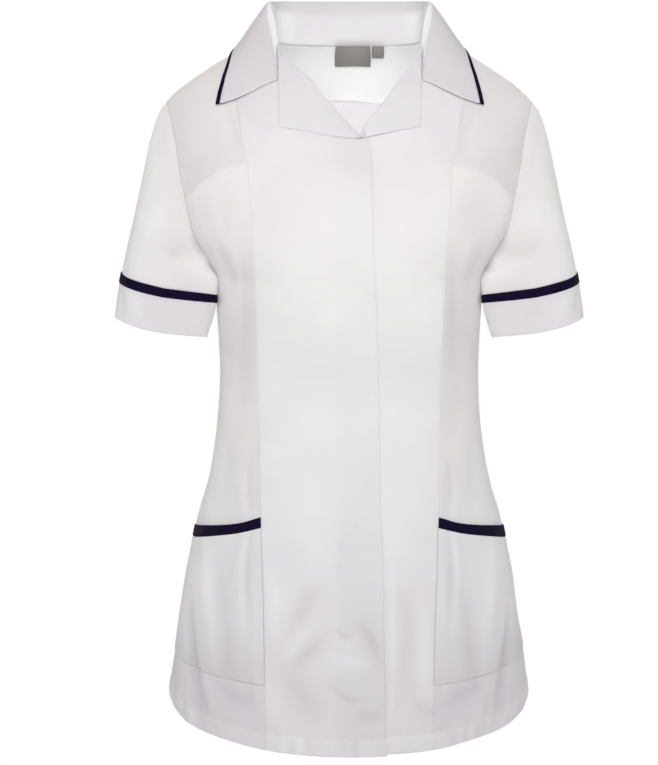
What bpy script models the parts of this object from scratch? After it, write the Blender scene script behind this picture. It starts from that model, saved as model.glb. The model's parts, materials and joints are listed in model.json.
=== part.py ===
"""Revere collar tunic: princess-seamed fronts, turned-back revers, one-piece collar,
short sleeves with turned cuffs and two patch pockets, filled out as it hangs when worn.

Metres. X runs to the wearer's left, Y to the wearer's back, Z up. The origin is midway
between the two points where the shoulder seams meet the neck.
"""
import bpy
import numpy as np


def table(names, *rows):
    """A table with named columns; its first column is the key that the others follow."""
    columns = np.array(rows, dtype=float).T
    order = np.argsort(columns[0])
    return {name: column[order] for name, column in zip(names.split(), columns)}


# Cloth
CLOTH = 0.0012            # wall of one layer
BINDING = 0.0016          # wall of the navy binding, which is folded double
SEAM = 0.00025            # each edge stays this far back from its seam line
SHOULDER_SEAM = 0.0005    # the same along the shoulder, where the cloth folds over
LAYER = 0.0006            # air between a piece and what it lies on

# Body of the garment
SHOULDER_ROUNDNESS = 1.8  # exponent of the fore-and-aft curve over the shoulder
FRONT_SHOULDER_DROP = 0.14
BACK_SHOULDER_DROP = 0.09
UNDERARM = -0.252         # height where the side seam meets the armhole
CHEST_ROW = -0.150        # height of the seamless line between lower and upper front

# Openings, measured outwards from the centre on each side
UNDER_FRONT_EDGE = -0.012  # hidden edge of the left front, past the centre
SHOULDER_PRINCESS = 0.125  # where the princess seam meets the shoulder seam
SHOULDER_AT = 0.65         # share of the neck seam where the shoulder seam meets it
BREAK_RIGHT, BREAK_LEFT = -0.1085, -0.118  # heights where the fronts' edges turn to revers
TUCK_FROM, TUCK_TO = 0.004, 0.030  # past the overlap, where the left front comes forward
LEFT_HEM_LIFT = 0.0035     # the left front is this much shorter at the centre

BODY = table(
    "height half_width front_depth back_depth roundness",
    (0.030, 0.1970, 0.090, 0.088, 2.50),
    (-0.050, 0.1960, 0.094, 0.093, 2.50),
    (-0.0734, 0.1950, 0.097, 0.098, 2.50),
    (-0.100, 0.1910, 0.103, 0.103, 2.50),
    (-0.138, 0.1840, 0.112, 0.108, 2.50),
    (-0.1677, 0.1785, 0.119, 0.110, 2.50),
    (-0.200, 0.1680, 0.124, 0.109, 2.50),
    (-0.2347, 0.1470, 0.126, 0.105, 2.50),
    (-0.252, 0.1395, 0.125, 0.103, 2.50),
    (-0.280, 0.1384, 0.122, 0.098, 2.50),
    (-0.327, 0.1362, 0.114, 0.088, 2.50),
    (-0.350, 0.1354, 0.110, 0.085, 2.50),
    (-0.375, 0.1361, 0.108, 0.086, 2.48),
    (-0.407, 0.1385, 0.108, 0.090, 2.45),
    (-0.4394, 0.1431, 0.109, 0.098, 2.42),
    (-0.472, 0.1498, 0.110, 0.108, 2.38),
    (-0.5043, 0.1590, 0.113, 0.117, 2.32),
    (-0.537, 0.1660, 0.116, 0.123, 2.26),
    (-0.570, 0.1728, 0.119, 0.127, 2.20),
    (-0.603, 0.1776, 0.122, 0.130, 2.15),
    (-0.636, 0.1828, 0.124, 0.132, 2.10),
    (-0.669, 0.1883, 0.126, 0.134, 2.07),
    (-0.7025, 0.1930, 0.128, 0.135, 2.05),
    (-0.740, 0.1980, 0.130, 0.137, 2.05),
)

SHOULDER = table(
    "out height",
    (0.000, 0.0070),
    (0.030, 0.0060),
    (0.060, 0.0025),
    (0.079, -0.0030),
    (0.100, -0.0120),
    (0.120, -0.0235),
    (0.1331, -0.0314),
    (0.1455, -0.0400),
    (0.158, -0.0480),
    (0.1705, -0.0570),
    (0.183, -0.0665),
    (0.1888, -0.0734),
    (0.200, -0.0900),
)

ARMHOLE = table(
    "height front_out back_out",
    (-0.0734, 0.1888, 0.1888),
    (-0.0911, 0.1837, 0.1850),
    (-0.1140, 0.1783, 0.1795),
    (-0.1430, 0.1733, 0.1750),
    (-0.1678, 0.1680, 0.1695),
    (-0.1915, 0.1632, 0.1640),
    (-0.2080, 0.1590, 0.1595),
    (-0.2220, 0.1522, 0.1525),
    (-0.2347, 0.1440, 0.1440),
    (-0.2520, 0.1395, 0.1395),
)

PRINCESS = table(
    "height out",
    (-0.0270, 0.1250),
    (-0.0580, 0.1188),
    (-0.0892, 0.1118),
    (-0.1203, 0.1046),
    (-0.1426, 0.1014),
    (-0.1660, 0.1003),
    (-0.2197, 0.0966),
    (-0.2901, 0.0945),
    (-0.3794, 0.0924),
    (-0.4894, 0.0907),
    (-0.6070, 0.0878),
    (-0.6835, 0.0865),
    (-0.7400, 0.0862),
)

CLOSURE = table(
    "height out",
    (-0.1085, -0.0190),
    (-0.1180, -0.0203),
    (-0.1341, -0.0213),
    (-0.2013, -0.0227),
    (-0.2439, -0.0248),
    (-0.2874, -0.0269),
    (-0.3682, -0.0292),
    (-0.4531, -0.0306),
    (-0.5203, -0.0334),
    (-0.6339, -0.0356),
    (-0.6991, -0.0368),
    (-0.7400, -0.0384),
)

HEM = table(
    "angle height",
    (-90.0, -0.7010),
    (-80.0, -0.7040),
    (-70.0, -0.7110),
    (-60.0, -0.7172),
    (-40.0, -0.7253),
    (-20.0, -0.7322),
    (0.0, -0.7345),
    (20.0, -0.7322),
    (40.0, -0.7253),
    (60.0, -0.7172),
    (70.0, -0.7110),
    (80.0, -0.7040),
    (90.0, -0.7010),
)

# Neck seam, from the centre back round to the top of the gorge, on the body's surface
NECK = table(
    "along out back",
    (0.00, 0.0000, 0.0555),
    (0.20, 0.0290, 0.0540),
    (0.40, 0.0570, 0.0480),
    (0.55, 0.0750, 0.0340),
    (0.65, 0.0790, 0.0000),
    (0.80, 0.0785, -0.0130),
    (0.90, 0.0770, -0.0250),
    (1.00, 0.0745, -0.0370),
)

# Roll lines of the two revers, from the gorge to the break
ROLL_RIGHT = table(
    "along out height",
    (0.00, 0.0745, -0.0168),
    (0.11, 0.0686, -0.0295),
    (0.27, 0.0552, -0.0400),
    (0.42, 0.0412, -0.0500),
    (0.60, 0.0282, -0.0661),
    (0.74, 0.0163, -0.0792),
    (0.86, 0.0053, -0.0912),
    (0.96, -0.0065, -0.1018),
    (1.00, -0.0115, -0.1062),
)

ROLL_LEFT = table(
    "along out height",
    (0.00, 0.0745, -0.0168),
    (0.10, 0.0706, -0.0280),
    (0.30, 0.0554, -0.0454),
    (0.58, 0.0373, -0.0688),
    (0.70, 0.0292, -0.0796),
    (0.84, 0.0184, -0.0911),
    (1.00, 0.0098, -0.1012),
)

# Rows and columns of the panels
EASE = 2.2                # exponent by which rows crowd towards the shoulder
LOWER_ROWS = 12           # hem to underarm
SIDE_ROWS = 12            # underarm to shoulder
CHEST_STEP = 4            # of those, the rows below the chest line
ROLL_STEPS = 4
NECK_STEPS = 2
INNER_SHOULDER_STEPS = 2
SIDE_STEPS = 5
BACK_NECK_STEPS = 3

# Sleeve rings: outer and inner points in the plane of the shoulders, and half the depth
SLEEVE = table(
    "along outer_x outer_z inner_x inner_z half_depth",
    (0.00, 0.1888, -0.0734, 0.1400, -0.2525, 0.0500),
    (0.08, 0.1995, -0.0919, 0.1404, -0.2530, 0.0535),
    (0.20, 0.2078, -0.1190, 0.1408, -0.2545, 0.0565),
    (0.40, 0.2165, -0.1575, 0.1411, -0.2580, 0.0585),
    (0.60, 0.2250, -0.1960, 0.1415, -0.2625, 0.0590),
    (0.84, 0.2366, -0.2486, 0.1419, -0.2698, 0.0585),
    (0.875, 0.2387, -0.2583, 0.1423, -0.2780, 0.0585),
    (1.00, 0.2446, -0.2940, 0.1528, -0.3120, 0.0585),
)

OUTER_SQUARENESS = 3.0     # 2 is an ellipse; the arm side of a ring
INNER_SQUARENESS = 5.0     # the body side of a ring
INNER_WRAP = 0.030         # how strongly its front and back corners reach round the body
SLEEVE_SHARES = (0, 0.05, 0.12, 0.24, 0.42, 0.62, 0.84)
CAP_END = (0.75, 0.45, 0.75)   # share by which the armhole's shape has faded, out, back and up
SEAM_LAG = 1.2             # how late round the armhole the ring turns to its inner side
BACK_WRAP = 0.35           # how much of the wrap its back corner has
BAND_START, BAND_END = 0.84, 0.875
BAND_LIFT = 0.0012        # the band stands this far out of the sleeve's surface
CUFF_LIFT = 0.0004
CUFF_CLOTH = 0.0020       # wall of the cuff, turned up double

# Collar, from the centre back round to the gorge: its fold, and its edge on the body
COLLAR = table(
    "along fold_out fold_back fold_height edge_out edge_back",
    (0.00, 0.0000, 0.0680, 0.0300, 0.0000, 0.0760),
    (0.20, 0.0340, 0.0645, 0.0300, 0.0450, 0.0730),
    (0.40, 0.0640, 0.0500, 0.0300, 0.0880, 0.0500),
    (0.55, 0.0790, 0.0270, 0.0296, 0.1130, 0.0220),
    (0.65, 0.0830, 0.0000, 0.0286, 0.1195, 0.0000),
    (0.80, 0.0765, -0.0200, 0.0094, 0.1245, -0.0345),
    (0.90, 0.0742, -0.0320, -0.0070, 0.1287, -0.0455),
    (1.00, 0.0730, -0.0405, -0.0150, 0.1323, -0.0533),
)

# Front end of the leaf, from the top of the gorge past the notch to the leaf's corner
LEAF_END = table(
    "along out height",
    (0.00, 0.0753, -0.0166),
    (0.18, 0.0733, -0.0337),
    (0.34, 0.0725, -0.0493),
    (0.45, 0.0815, -0.0534),
    (0.65, 0.0994, -0.0632),
    (0.82, 0.1144, -0.0701),
    (1.00, 0.1323, -0.0750),
)

COLLAR_END = 0.98          # the collar stops just short of the revere at the gorge
COLLAR_STEPS = 11          # along each half
STAND_SHARES = (0, 0.33, 0.67, 1)
LEAF_SHARES = (0, 0.06, 0.18, 0.36, 0.58, 0.79, 1)
EDGE_LIFT = 0.0034         # outer face of the leaf's edge above the body
NECK_RISE = 0.0004         # the stand starts this far above the neck edge
FOLD_WIDTH = 0.003         # how far the fold's round reaches to each side
TRIM_WIDTH = 0.0050        # of the navy edge
STAND_LEAN = (0.1, 0.1, 0.6)  # how the stand leaves the neck seam, as a share of its rise
LEAF_END_FROM = 0.62       # the leaf turns towards its front end from here on

# Lower edges of the revers, from the break to the corner
REVERE_EDGE_RIGHT = table(
    "along out height",
    (0.00, -0.0070, -0.1066),
    (0.10, 0.0010, -0.1063),
    (0.35, 0.0218, -0.1038),
    (0.70, 0.0485, -0.0990),
    (1.00, 0.0705, -0.0957),
)

REVERE_EDGE_LEFT = table(
    "along out height",
    (0.00, 0.0155, -0.1055),
    (0.30, 0.0307, -0.1023),
    (0.65, 0.0504, -0.0986),
    (1.00, 0.0705, -0.0957),
)

# Outer edge of a revere, up to the notch and on along the gorge
REVERE_SIDE = table(
    "height out",
    (-0.0957, 0.0705),
    (-0.0493, 0.0715),
    (-0.0337, 0.0716),
    (-0.0225, 0.0718),
)

REVERE_TOP = 0.05          # share of the roll line where a revere begins, at the gorge
REVERE_STEPS = 7
REVERE_ROWS = 4
REVERE_LIFT = 0.0022       # the fold stands this much further off than the edge
LEFT_REVERE_END = 0.93     # share of the left roll line where the right front covers it

# The last rows of a revere, round its fold: past the roll line, and above the body
REVERE_FOLD = table(
    "beyond above",
    (0.0016, 0.0026),
    (0.0021, 0.0002),
)

# Patch pockets, set into the princess and side seams
POCKET = table(
    "across bottom binding mouth",
    (0.0, -0.6635, -0.5020, -0.4912),
    (0.2, -0.6625, -0.5101, -0.4998),
    (0.4, -0.6605, -0.5160, -0.5050),
    (0.6, -0.6580, -0.5216, -0.5094),
    (0.8, -0.6545, -0.5270, -0.5143),
    (1.0, -0.6500, -0.5310, -0.5192),
)

POCKET_ROWS = 5
MOUTH_STAND = 0.0015       # the mouth stands this much further off the side front

# Back neck facing and labels, inside the back
FACING_DEPTH = -0.0737     # height of the facing's lower edge at the centre
FACING_SLANT = 0.35        # rows of slant across that edge
FACING_COLUMNS = 3         # on each side of the centre
FACING_ROWS = 5
LABEL_CENTRE, LABEL_WIDTH, LABEL_DROP = 0.0043, 0.0360, 0.0215
TAB_CENTRE, TAB_WIDTH, TAB_DROP = 0.0307, 0.0128, 0.0120
LABEL_CLOTH = 0.0010
LABEL_RISE = 0.0030        # the labels' top edge reaches up to the neck seam


def along(rows, name, key):
    """One column of a table at a key, by a smooth curve that never overshoots its rows."""
    keys = next(iter(rows.values()))
    values = rows[name]
    slopes = np.diff(values) / np.diff(keys)
    before, after = slopes[:-1], slopes[1:]
    turning = before * after <= 0
    safe_sum = np.where(turning, 1.0, before + after)
    inner = np.where(turning, 0.0, 2 * before * after / safe_sum)
    tangents = np.concatenate(([slopes[0]], inner, [slopes[-1]]))
    key = np.clip(key, keys[0], keys[-1])
    row = np.clip(np.searchsorted(keys, key) - 1, 0, len(keys) - 2)
    span = keys[row + 1] - keys[row]
    part = (key - keys[row]) / span
    rise = part * part * (3 - 2 * part)
    return (
        values[row] * (1 - rise) + values[row + 1] * rise
        + span * part * (1 - part) ** 2 * tangents[row]
        - span * part * part * (1 - part) * tangents[row + 1]
    )


def signed_power(value, exponent):
    return np.sign(value) * np.abs(value) ** exponent


def shoulder_fall(out, height, face):
    """How far the body has swung from the shoulder line to its full depth, 0 to 1."""
    drop = FRONT_SHOULDER_DROP if face < 0 else BACK_SHOULDER_DROP
    below = (along(SHOULDER, "height", np.abs(out)) - height) / drop
    rest = 1 - np.clip(below, 0, 1)
    return (1 - rest ** SHOULDER_ROUNDNESS) ** (1 / SHOULDER_ROUNDNESS)


def full_depth(height, face):
    return along(BODY, "front_depth" if face < 0 else "back_depth", height)


def body_point(angle, height, face):
    """Point of the body's outer surface; the angle is 0 at the centre, 90 at the side."""
    turn = np.radians(angle)
    power = 2 / along(BODY, "roundness", height)
    out = along(BODY, "half_width", height) * signed_power(np.sin(turn), power)
    level = np.clip(np.cos(turn), 0, 1) ** power
    depth = full_depth(height, face) * level * shoulder_fall(out, height, face)
    return np.stack([out, face * depth, height + 0 * out], axis=-1)


def angle_at(out, height):
    """Angle of the body's section where it is this far out from the centre."""
    share = np.clip(out / along(BODY, "half_width", height), -1, 1)
    return np.degrees(np.arcsin(signed_power(share, along(BODY, "roundness", height) / 2)))


def depth_at(out, height, face):
    return body_point(angle_at(out, height), height, face)[..., 1]


def height_at(out, back):
    """Height of the body's upper surface at a point of the plan, by halving."""
    face = np.where(back > 0, 1, -1)
    top = along(SHOULDER, "height", np.abs(out))
    low, high = top - 0.08, top
    for _ in range(30):
        middle = (low + high) / 2
        front = np.abs(depth_at(out, middle, -1))
        rear = np.abs(depth_at(out, middle, 1))
        deeper = np.where(face < 0, front, rear) > np.abs(back)
        low = np.where(deeper, middle, low)
        high = np.where(deeper, high, middle)
    return (low + high) / 2


def polar(out, height):
    """Pairs of angle and height from distances out and heights."""
    return np.stack([angle_at(out, height), height + 0 * out], axis=-1)


def coons(bottom, top, left, right):
    """Grid of rows and columns filled in between four lines of points."""
    u = np.linspace(0, 1, len(bottom))[None, :, None]
    v = np.linspace(0, 1, len(left))[:, None, None]
    across = bottom[None] * (1 - v) + top[None] * v
    upward = left[:, None] * (1 - u) + right[:, None] * u
    corners = (
        (bottom[0] * (1 - u) + bottom[-1] * u) * (1 - v)
        + (top[0] * (1 - u) + top[-1] * u) * v
    )
    return across + upward - corners


def mirrored(grid):
    """The same grid on the wearer's other side, still seen from outside."""
    return grid[:, ::-1] * np.array([-1, 1, 1])


def normals(grid):
    """Unit normals of a grid whose rows go up and columns go right, seen from outside."""
    up = np.gradient(grid, axis=0)
    right = np.gradient(grid, axis=1)
    normal = np.cross(right, up)
    return normal / np.linalg.norm(normal, axis=-1, keepdims=True)


def moved_out(grid, distance):
    return grid + normals(grid) * distance


def inset(grid, sides="bottom top left right", amount=SEAM):
    """Draw the named edges of a grid back from their seam lines."""
    grid = grid.copy()
    edges = {
        "bottom": (np.s_[0], np.s_[1]),
        "top": (np.s_[-1], np.s_[-2]),
        "left": (np.s_[:, 0], np.s_[:, 1]),
        "right": (np.s_[:, -1], np.s_[:, -2]),
    }
    for side in sides.split():
        edge, inner = edges[side]
        away = grid[inner] - grid[edge]
        grid[edge] += away / np.linalg.norm(away, axis=-1, keepdims=True) * amount
    return grid


def seamed(panel):
    """A body panel drawn back from its seams, and a little more along the shoulder."""
    return inset(inset(panel), "top", SHOULDER_SEAM - SEAM)


def sampled(grid, rows, columns):
    """Points of a grid at fractional row and column positions."""
    row = np.clip(np.floor(rows).astype(int), 0, grid.shape[0] - 2)
    column = np.clip(np.floor(columns).astype(int), 0, grid.shape[1] - 2)
    up = (rows - row)[..., None]
    over = (columns - column)[..., None]
    low = grid[row, column] * (1 - over) + grid[row, column + 1] * over
    high = grid[row + 1, column] * (1 - over) + grid[row + 1, column + 1] * over
    return low * (1 - up) + high * up


def eased(start, end, steps):
    """Values from start to end whose steps shrink towards the end."""
    rest = (1 - np.linspace(0, 1, steps + 1)) ** EASE
    return end + (start - end) * rest


def run(rows, names, start, end, steps):
    """Points along a table between two keys, as pairs of the named columns."""
    keys = np.linspace(start, end, steps + 1)
    return np.stack([along(rows, name, keys) for name in names.split()], axis=-1)


def princess_heights():
    """Heights of the rows where they meet the princess seam, underarm to shoulder."""
    top = along(SHOULDER, "height", SHOULDER_PRINCESS)
    lower = np.linspace(UNDERARM, CHEST_ROW, CHEST_STEP + 1)
    return np.concatenate([lower[:-1], eased(CHEST_ROW, top, SIDE_ROWS - CHEST_STEP)])


def armhole_heights():
    return eased(UNDERARM, along(ARMHOLE, "height", 1.0), SIDE_ROWS)


def seam_line(rows, name, heights):
    return polar(along(rows, name, heights), heights)


def hem_height(angle):
    return along(HEM, "height", angle)


def closure_edge(heights):
    return seam_line(CLOSURE, "out", heights)


def hidden_edge(heights):
    return polar(UNDER_FRONT_EDGE + 0 * heights, heights)


def princess_edge(heights):
    return seam_line(PRINCESS, "out", heights)


def centre_edge(heights):
    return polar(0 * heights, heights)


def side_edge(heights):
    return np.stack([90 + 0 * heights, heights], axis=-1)


def between(start, end, steps):
    """Straight line of pairs from one to the other."""
    part = np.linspace(0, 1, steps + 1)[:, None]
    return start * (1 - part) + end * part


def lower_patch(left_edge, right_edge, columns, hem_lift=0):
    """Grid of angles and heights from the hem to the underarm, between two edges.

    The hem may be lifted at the left edge, fading out towards the right one.
    """
    low = np.array([BODY["height"][0]])
    left_angle, right_angle = left_edge(low)[0, 0], right_edge(low)[0, 0]
    angles = np.linspace(left_angle, right_angle, columns + 1)
    lift = hem_lift * np.linspace(1, 0, columns + 1)
    bottom = np.stack([angles, hem_height(angles) + lift], axis=-1)
    left = left_edge(np.linspace(bottom[0, 1], UNDERARM, LOWER_ROWS + 1))
    right = right_edge(np.linspace(bottom[-1, 1], UNDERARM, LOWER_ROWS + 1))
    return coons(bottom, between(left[-1], right[-1], columns), left, right)


def on_body(patches, face):
    """One grid on the body's surface from patches stacked upwards."""
    rows = np.concatenate([patches[0]] + [patch[1:] for patch in patches[1:]])
    return body_point(rows[..., 0], rows[..., 1], face)


def roll_points(roll, start, end, steps):
    points = run(roll, "out height", start, end, steps)
    return polar(points[:, 0], points[:, 1])


def neck_points(start, end, steps):
    points = run(NECK, "out back", start, end, steps)
    return polar(points[:, 0], height_at(points[:, 0], points[:, 1]))


def shoulder_points(start, end, steps):
    out = np.linspace(start, end, steps + 1)
    return polar(out, along(SHOULDER, "height", out))


def front_grid(edge, edge_top, roll, hem_lift=0):
    """A front from its leading edge to the princess seam, on the wearer's left."""
    columns = 1 + ROLL_STEPS + NECK_STEPS + INNER_SHOULDER_STEPS
    neck_out = along(NECK, "out", SHOULDER_AT)
    lower = lower_patch(edge, princess_edge, columns, hem_lift)
    heights = princess_heights()
    chest_left, chest_right = edge(heights[: CHEST_STEP + 1]), princess_edge(heights)
    chest = coons(
        lower[-1], between(chest_left[-1], chest_right[CHEST_STEP], columns),
        chest_left, chest_right[: CHEST_STEP + 1],
    )
    upper_right = chest_right[CHEST_STEP:]
    upper_left = edge(np.linspace(CHEST_ROW, edge_top, len(upper_right)))
    top = np.concatenate([
        upper_left[-1:],
        roll_points(roll, 1, 0, ROLL_STEPS),
        neck_points(1, SHOULDER_AT, NECK_STEPS)[1:],
        shoulder_points(neck_out, SHOULDER_PRINCESS, INNER_SHOULDER_STEPS)[1:],
    ])
    upper = coons(chest[-1], top, upper_left, upper_right)
    return on_body([lower, chest, upper], -1)


def side_front_grid():
    """A side front from the princess seam to the side seam, on the wearer's left."""
    lower = lower_patch(princess_edge, side_edge, SIDE_STEPS)
    left = princess_edge(princess_heights())
    right = seam_line(ARMHOLE, "front_out", armhole_heights())
    right[0] = lower[-1, -1]
    tip = ARMHOLE["front_out"][-1]
    top = shoulder_points(SHOULDER_PRINCESS, tip, SIDE_STEPS)
    return on_body([lower, coons(lower[-1], top, left, right)], -1)


def back_grid():
    """The back from side seam to side seam."""
    columns = BACK_NECK_STEPS + INNER_SHOULDER_STEPS + SIDE_STEPS
    neck_out = along(NECK, "out", SHOULDER_AT)
    lower = lower_patch(centre_edge, side_edge, columns)
    right = seam_line(ARMHOLE, "back_out", armhole_heights())
    right[0] = lower[-1, -1]
    top = np.concatenate([
        neck_points(0, SHOULDER_AT, BACK_NECK_STEPS),
        shoulder_points(neck_out, SHOULDER_PRINCESS, INNER_SHOULDER_STEPS)[1:],
        shoulder_points(SHOULDER_PRINCESS, ARMHOLE["back_out"][-1], SIDE_STEPS)[1:],
    ])
    left = centre_edge(eased(UNDERARM, top[0, 1], SIDE_ROWS))
    half = on_body([lower, coons(lower[-1], top, left, right)], 1)
    return np.concatenate([half[:, ::-1], half[:, 1:] * np.array([-1, 1, 1])], axis=1)


def smooth_step(value, start, end):
    part = np.clip((value - start) / (end - start), 0, 1)
    return part * part * (3 - 2 * part)


def tucked_under(grid):
    """The left front, pressed back where the right front lies over it."""
    edge = -along(CLOSURE, "out", grid[..., 2])
    amount = (CLOTH + LAYER) * (1 - smooth_step(grid[..., 0] - edge, TUCK_FROM, TUCK_TO))
    return moved_out(grid, -amount[..., None])


def armhole_loop():
    """Closed loop of the left armhole from the shoulder tip, first down the front."""
    heights = armhole_heights()
    loop = []
    for name, face in (("front_out", -1), ("back_out", 1)):
        line = seam_line(ARMHOLE, name, heights)
        line[0] = (90, UNDERARM)
        loop.append(body_point(line[:, 0], line[:, 1], face))
    return np.concatenate([loop[0][::-1], loop[1][1:]])


def sleeve_ring(share, turns):
    outer = np.array([along(SLEEVE, "outer_x", share), 0, along(SLEEVE, "outer_z", share)])
    inner = np.array([along(SLEEVE, "inner_x", share), 0, along(SLEEVE, "inner_z", share)])
    depth = np.array([0, -along(SLEEVE, "half_depth", share), 0])
    cosine, sine = np.cos(turns)[:, None], np.sin(turns)[:, None]
    squareness = np.where(cosine > 0, OUTER_SQUARENESS, INNER_SQUARENESS)
    size = (abs(cosine) ** squareness + abs(sine) ** squareness) ** (-1 / squareness)
    wrap = INNER_WRAP * np.maximum(-cosine, 0) * (size * sine) ** 4
    wrap = wrap * np.where(sine > 0, 1, BACK_WRAP) * np.array([1, 0, 0])
    return (outer + inner) / 2 + size * ((outer - inner) / 2 * cosine + depth * sine) - wrap


def sleeve_turns(loop):
    """The angle round the ring of each point of the armhole."""
    steps = np.linalg.norm(np.diff(loop[: len(loop) // 2 + 1], axis=0), axis=-1)
    reached = np.concatenate([[0], np.cumsum(steps)])
    front = np.pi * (reached / reached[-1]) ** SEAM_LAG
    return np.concatenate([front, 2 * np.pi - front[-2::-1]])


def sleeve_grid(shares):
    """Rings of the left sleeve at shares of its length, armhole shape fading out."""
    loop = armhole_loop()
    turns = sleeve_turns(loop)
    from_ring = loop - sleeve_ring(0, turns)
    rings = []
    for share in shares:
        fade = 1 - smooth_step(share, 0, np.array(CAP_END))
        rings.append(sleeve_ring(share, turns) + from_ring * fade)
    return np.array(rings)


def body_normal(out, height, face):
    """Outward normal of the body, taken just below the shoulder line at the highest."""
    step = 0.0005
    top = along(SHOULDER, "height", np.abs(out)) - 4 * step
    height = np.minimum(height, top)
    across = [np.stack([x, depth_at(x, height, face), height], axis=-1)
              for x in (out - step, out + step)]
    upward = [np.stack([out, depth_at(out, z, face), z], axis=-1)
              for z in (height - step, height + step)]
    normal = np.cross(across[1] - across[0], upward[1] - upward[0]) * -face
    return normal / np.linalg.norm(normal, axis=-1, keepdims=True)


def over_body(out, back, distance):
    """Points at a distance outside the body, above places in the plan of the shoulders."""
    height = height_at(out, back)
    front = body_normal(out, height, -1)
    rear = body_normal(out, height, 1)
    normal = np.where((back > 0)[:, None], rear, front)
    return np.stack([out, back, height], axis=-1) + normal * distance


def before_body(out, height, distance):
    """Points at a distance in front of the body."""
    point = np.stack([out, depth_at(out, height, -1), height], axis=-1)
    return point + body_normal(out, height, -1) * distance


def bezier(points, shares):
    a, b, c, d = (point[:, None] for point in points)
    t = shares[None, :, None]
    s = 1 - t
    return a * s ** 3 + 3 * b * s * s * t + 3 * c * s * t * t + d * t ** 3


def spaced(line, lengths):
    """Points of a line at these lengths along it."""
    steps = np.linalg.norm(np.diff(line, axis=0), axis=-1)
    reached = np.concatenate([[0], np.cumsum(steps)])
    return np.stack([np.interp(lengths, reached, line[:, k]) for k in range(3)], axis=-1)


def collar_half(steps, stand_shares, leaf_shares, edging):
    """The left half: rows go round the neck, columns from the neck seam over the fold.

    Edging picks the strip along the leaf's edge in place of the stand and the leaf.
    """
    share = np.linspace(0, COLLAR_END, steps + 1)
    neck_out, neck_back = along(NECK, "out", share), along(NECK, "back", share)
    neck_height = height_at(neck_out, neck_back) + NECK_RISE
    seam = np.stack([neck_out, neck_back, neck_height], axis=-1)
    fold = np.stack([
        along(COLLAR, name, share) for name in ("fold_out", "fold_back", "fold_height")
    ], axis=-1)
    edge = over_body(along(COLLAR, "edge_out", share), along(COLLAR, "edge_back", share),
                     EDGE_LIFT)
    over = (edge - seam) * np.array([1, 1, 0.35])
    over /= np.linalg.norm(over, axis=-1, keepdims=True)
    rise = fold - seam
    stand = bezier(
        (seam, seam + rise * np.array(STAND_LEAN), fold - over * FOLD_WIDTH, fold),
        np.array(stand_shares),
    )
    fine = np.linspace(0, 1, 101)
    leaf = bezier(
        (fold, fold + over * FOLD_WIDTH * 1.4, fold * 0.45 + edge * 0.55, edge), fine,
    )
    end = before_body(along(LEAF_END, "out", fine), along(LEAF_END, "height", fine),
                      EDGE_LIFT)
    turned = smooth_step(share, LEAF_END_FROM, COLLAR_END)[:, None, None] ** 1.5
    joined = smooth_step(fine, 0, 0.25)[None, :, None]
    leaf += (end - leaf[-1])[None] * turned * joined
    widths = np.linalg.norm(np.diff(leaf, axis=1), axis=-1).sum(axis=1)
    if edging:
        return np.array([spaced(line, [width - TRIM_WIDTH, width])
                         for line, width in zip(leaf, widths)])
    leaf = np.array([spaced(line, np.array(leaf_shares) * (width - TRIM_WIDTH))
                     for line, width in zip(leaf, widths)])
    return np.concatenate([stand, leaf[:, 1:]], axis=1)


def collar_grid(steps, stand_shares=STAND_SHARES, leaf_shares=LEAF_SHARES, edging=False):
    """The whole collar from the left gorge round the back to the right gorge."""
    half = collar_half(steps, stand_shares, leaf_shares, edging)
    return np.concatenate([half[::-1], half[1:] * np.array([-1, 1, 1])])


def revere_grid(roll, roll_end, lower_edge, steps, rows):
    """A turned-back revere on the left: its lower edge at the bottom, its roll on top."""
    top = roll_points(roll, roll_end, REVERE_TOP, steps)
    lower = run(lower_edge, "out height", 0, 1, steps)
    bottom = polar(lower[:, 0], lower[:, 1])
    left = between(bottom[0], top[0], rows)
    right = seam_line(REVERE_SIDE, "out", np.linspace(bottom[-1, 1], top[-1, 1], rows + 1))
    right[-1] = top[-1]
    flat = coons(bottom, top, left, right)
    surface = body_point(flat[..., 0], flat[..., 1], -1)
    upwards = np.linspace(0, 1, rows + 1)[:, None, None]
    lifted = surface + normals(surface) * (CLOTH + LAYER + REVERE_LIFT * upwards ** 2)
    normal = normals(surface)[-1]
    beyond = np.cross(normal, np.gradient(surface[-1], axis=0))
    beyond /= np.linalg.norm(beyond, axis=-1, keepdims=True)
    folded = [surface[-1] + beyond * past + normal * above
              for past, above in zip(REVERE_FOLD["beyond"], REVERE_FOLD["above"])]
    return np.concatenate([lifted, folded])


def pocket_grid(panel, low, high, rows):
    """Part of the pocket between two of its lines, made from the side front's points."""
    columns = np.arange(SIDE_STEPS + 1)
    across = columns / SIDE_STEPS
    hem = panel[0, :, 2]
    grid = []
    for part in np.linspace(0, 1, rows + 1):
        heights = along(POCKET, low, across) * (1 - part) + along(POCKET, high, across) * part
        grid.append(sampled(panel, (heights - hem) / (UNDERARM - hem) * LOWER_ROWS, columns))
    grid = np.array(grid)
    open_part = smooth_step(grid[..., 2:], POCKET["bottom"][0], POCKET["mouth"][0])
    bulge = np.sin(np.pi * across)[None, :, None] * open_part * MOUTH_STAND
    return grid + normals(grid) * (CLOTH + LAYER + bulge)


def back_rows(panel, heights):
    """Fractional rows of the back where its centre line is at these heights."""
    centre = panel[:, panel.shape[1] // 2, 2]
    return np.interp(heights, centre, np.arange(len(centre)))


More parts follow.
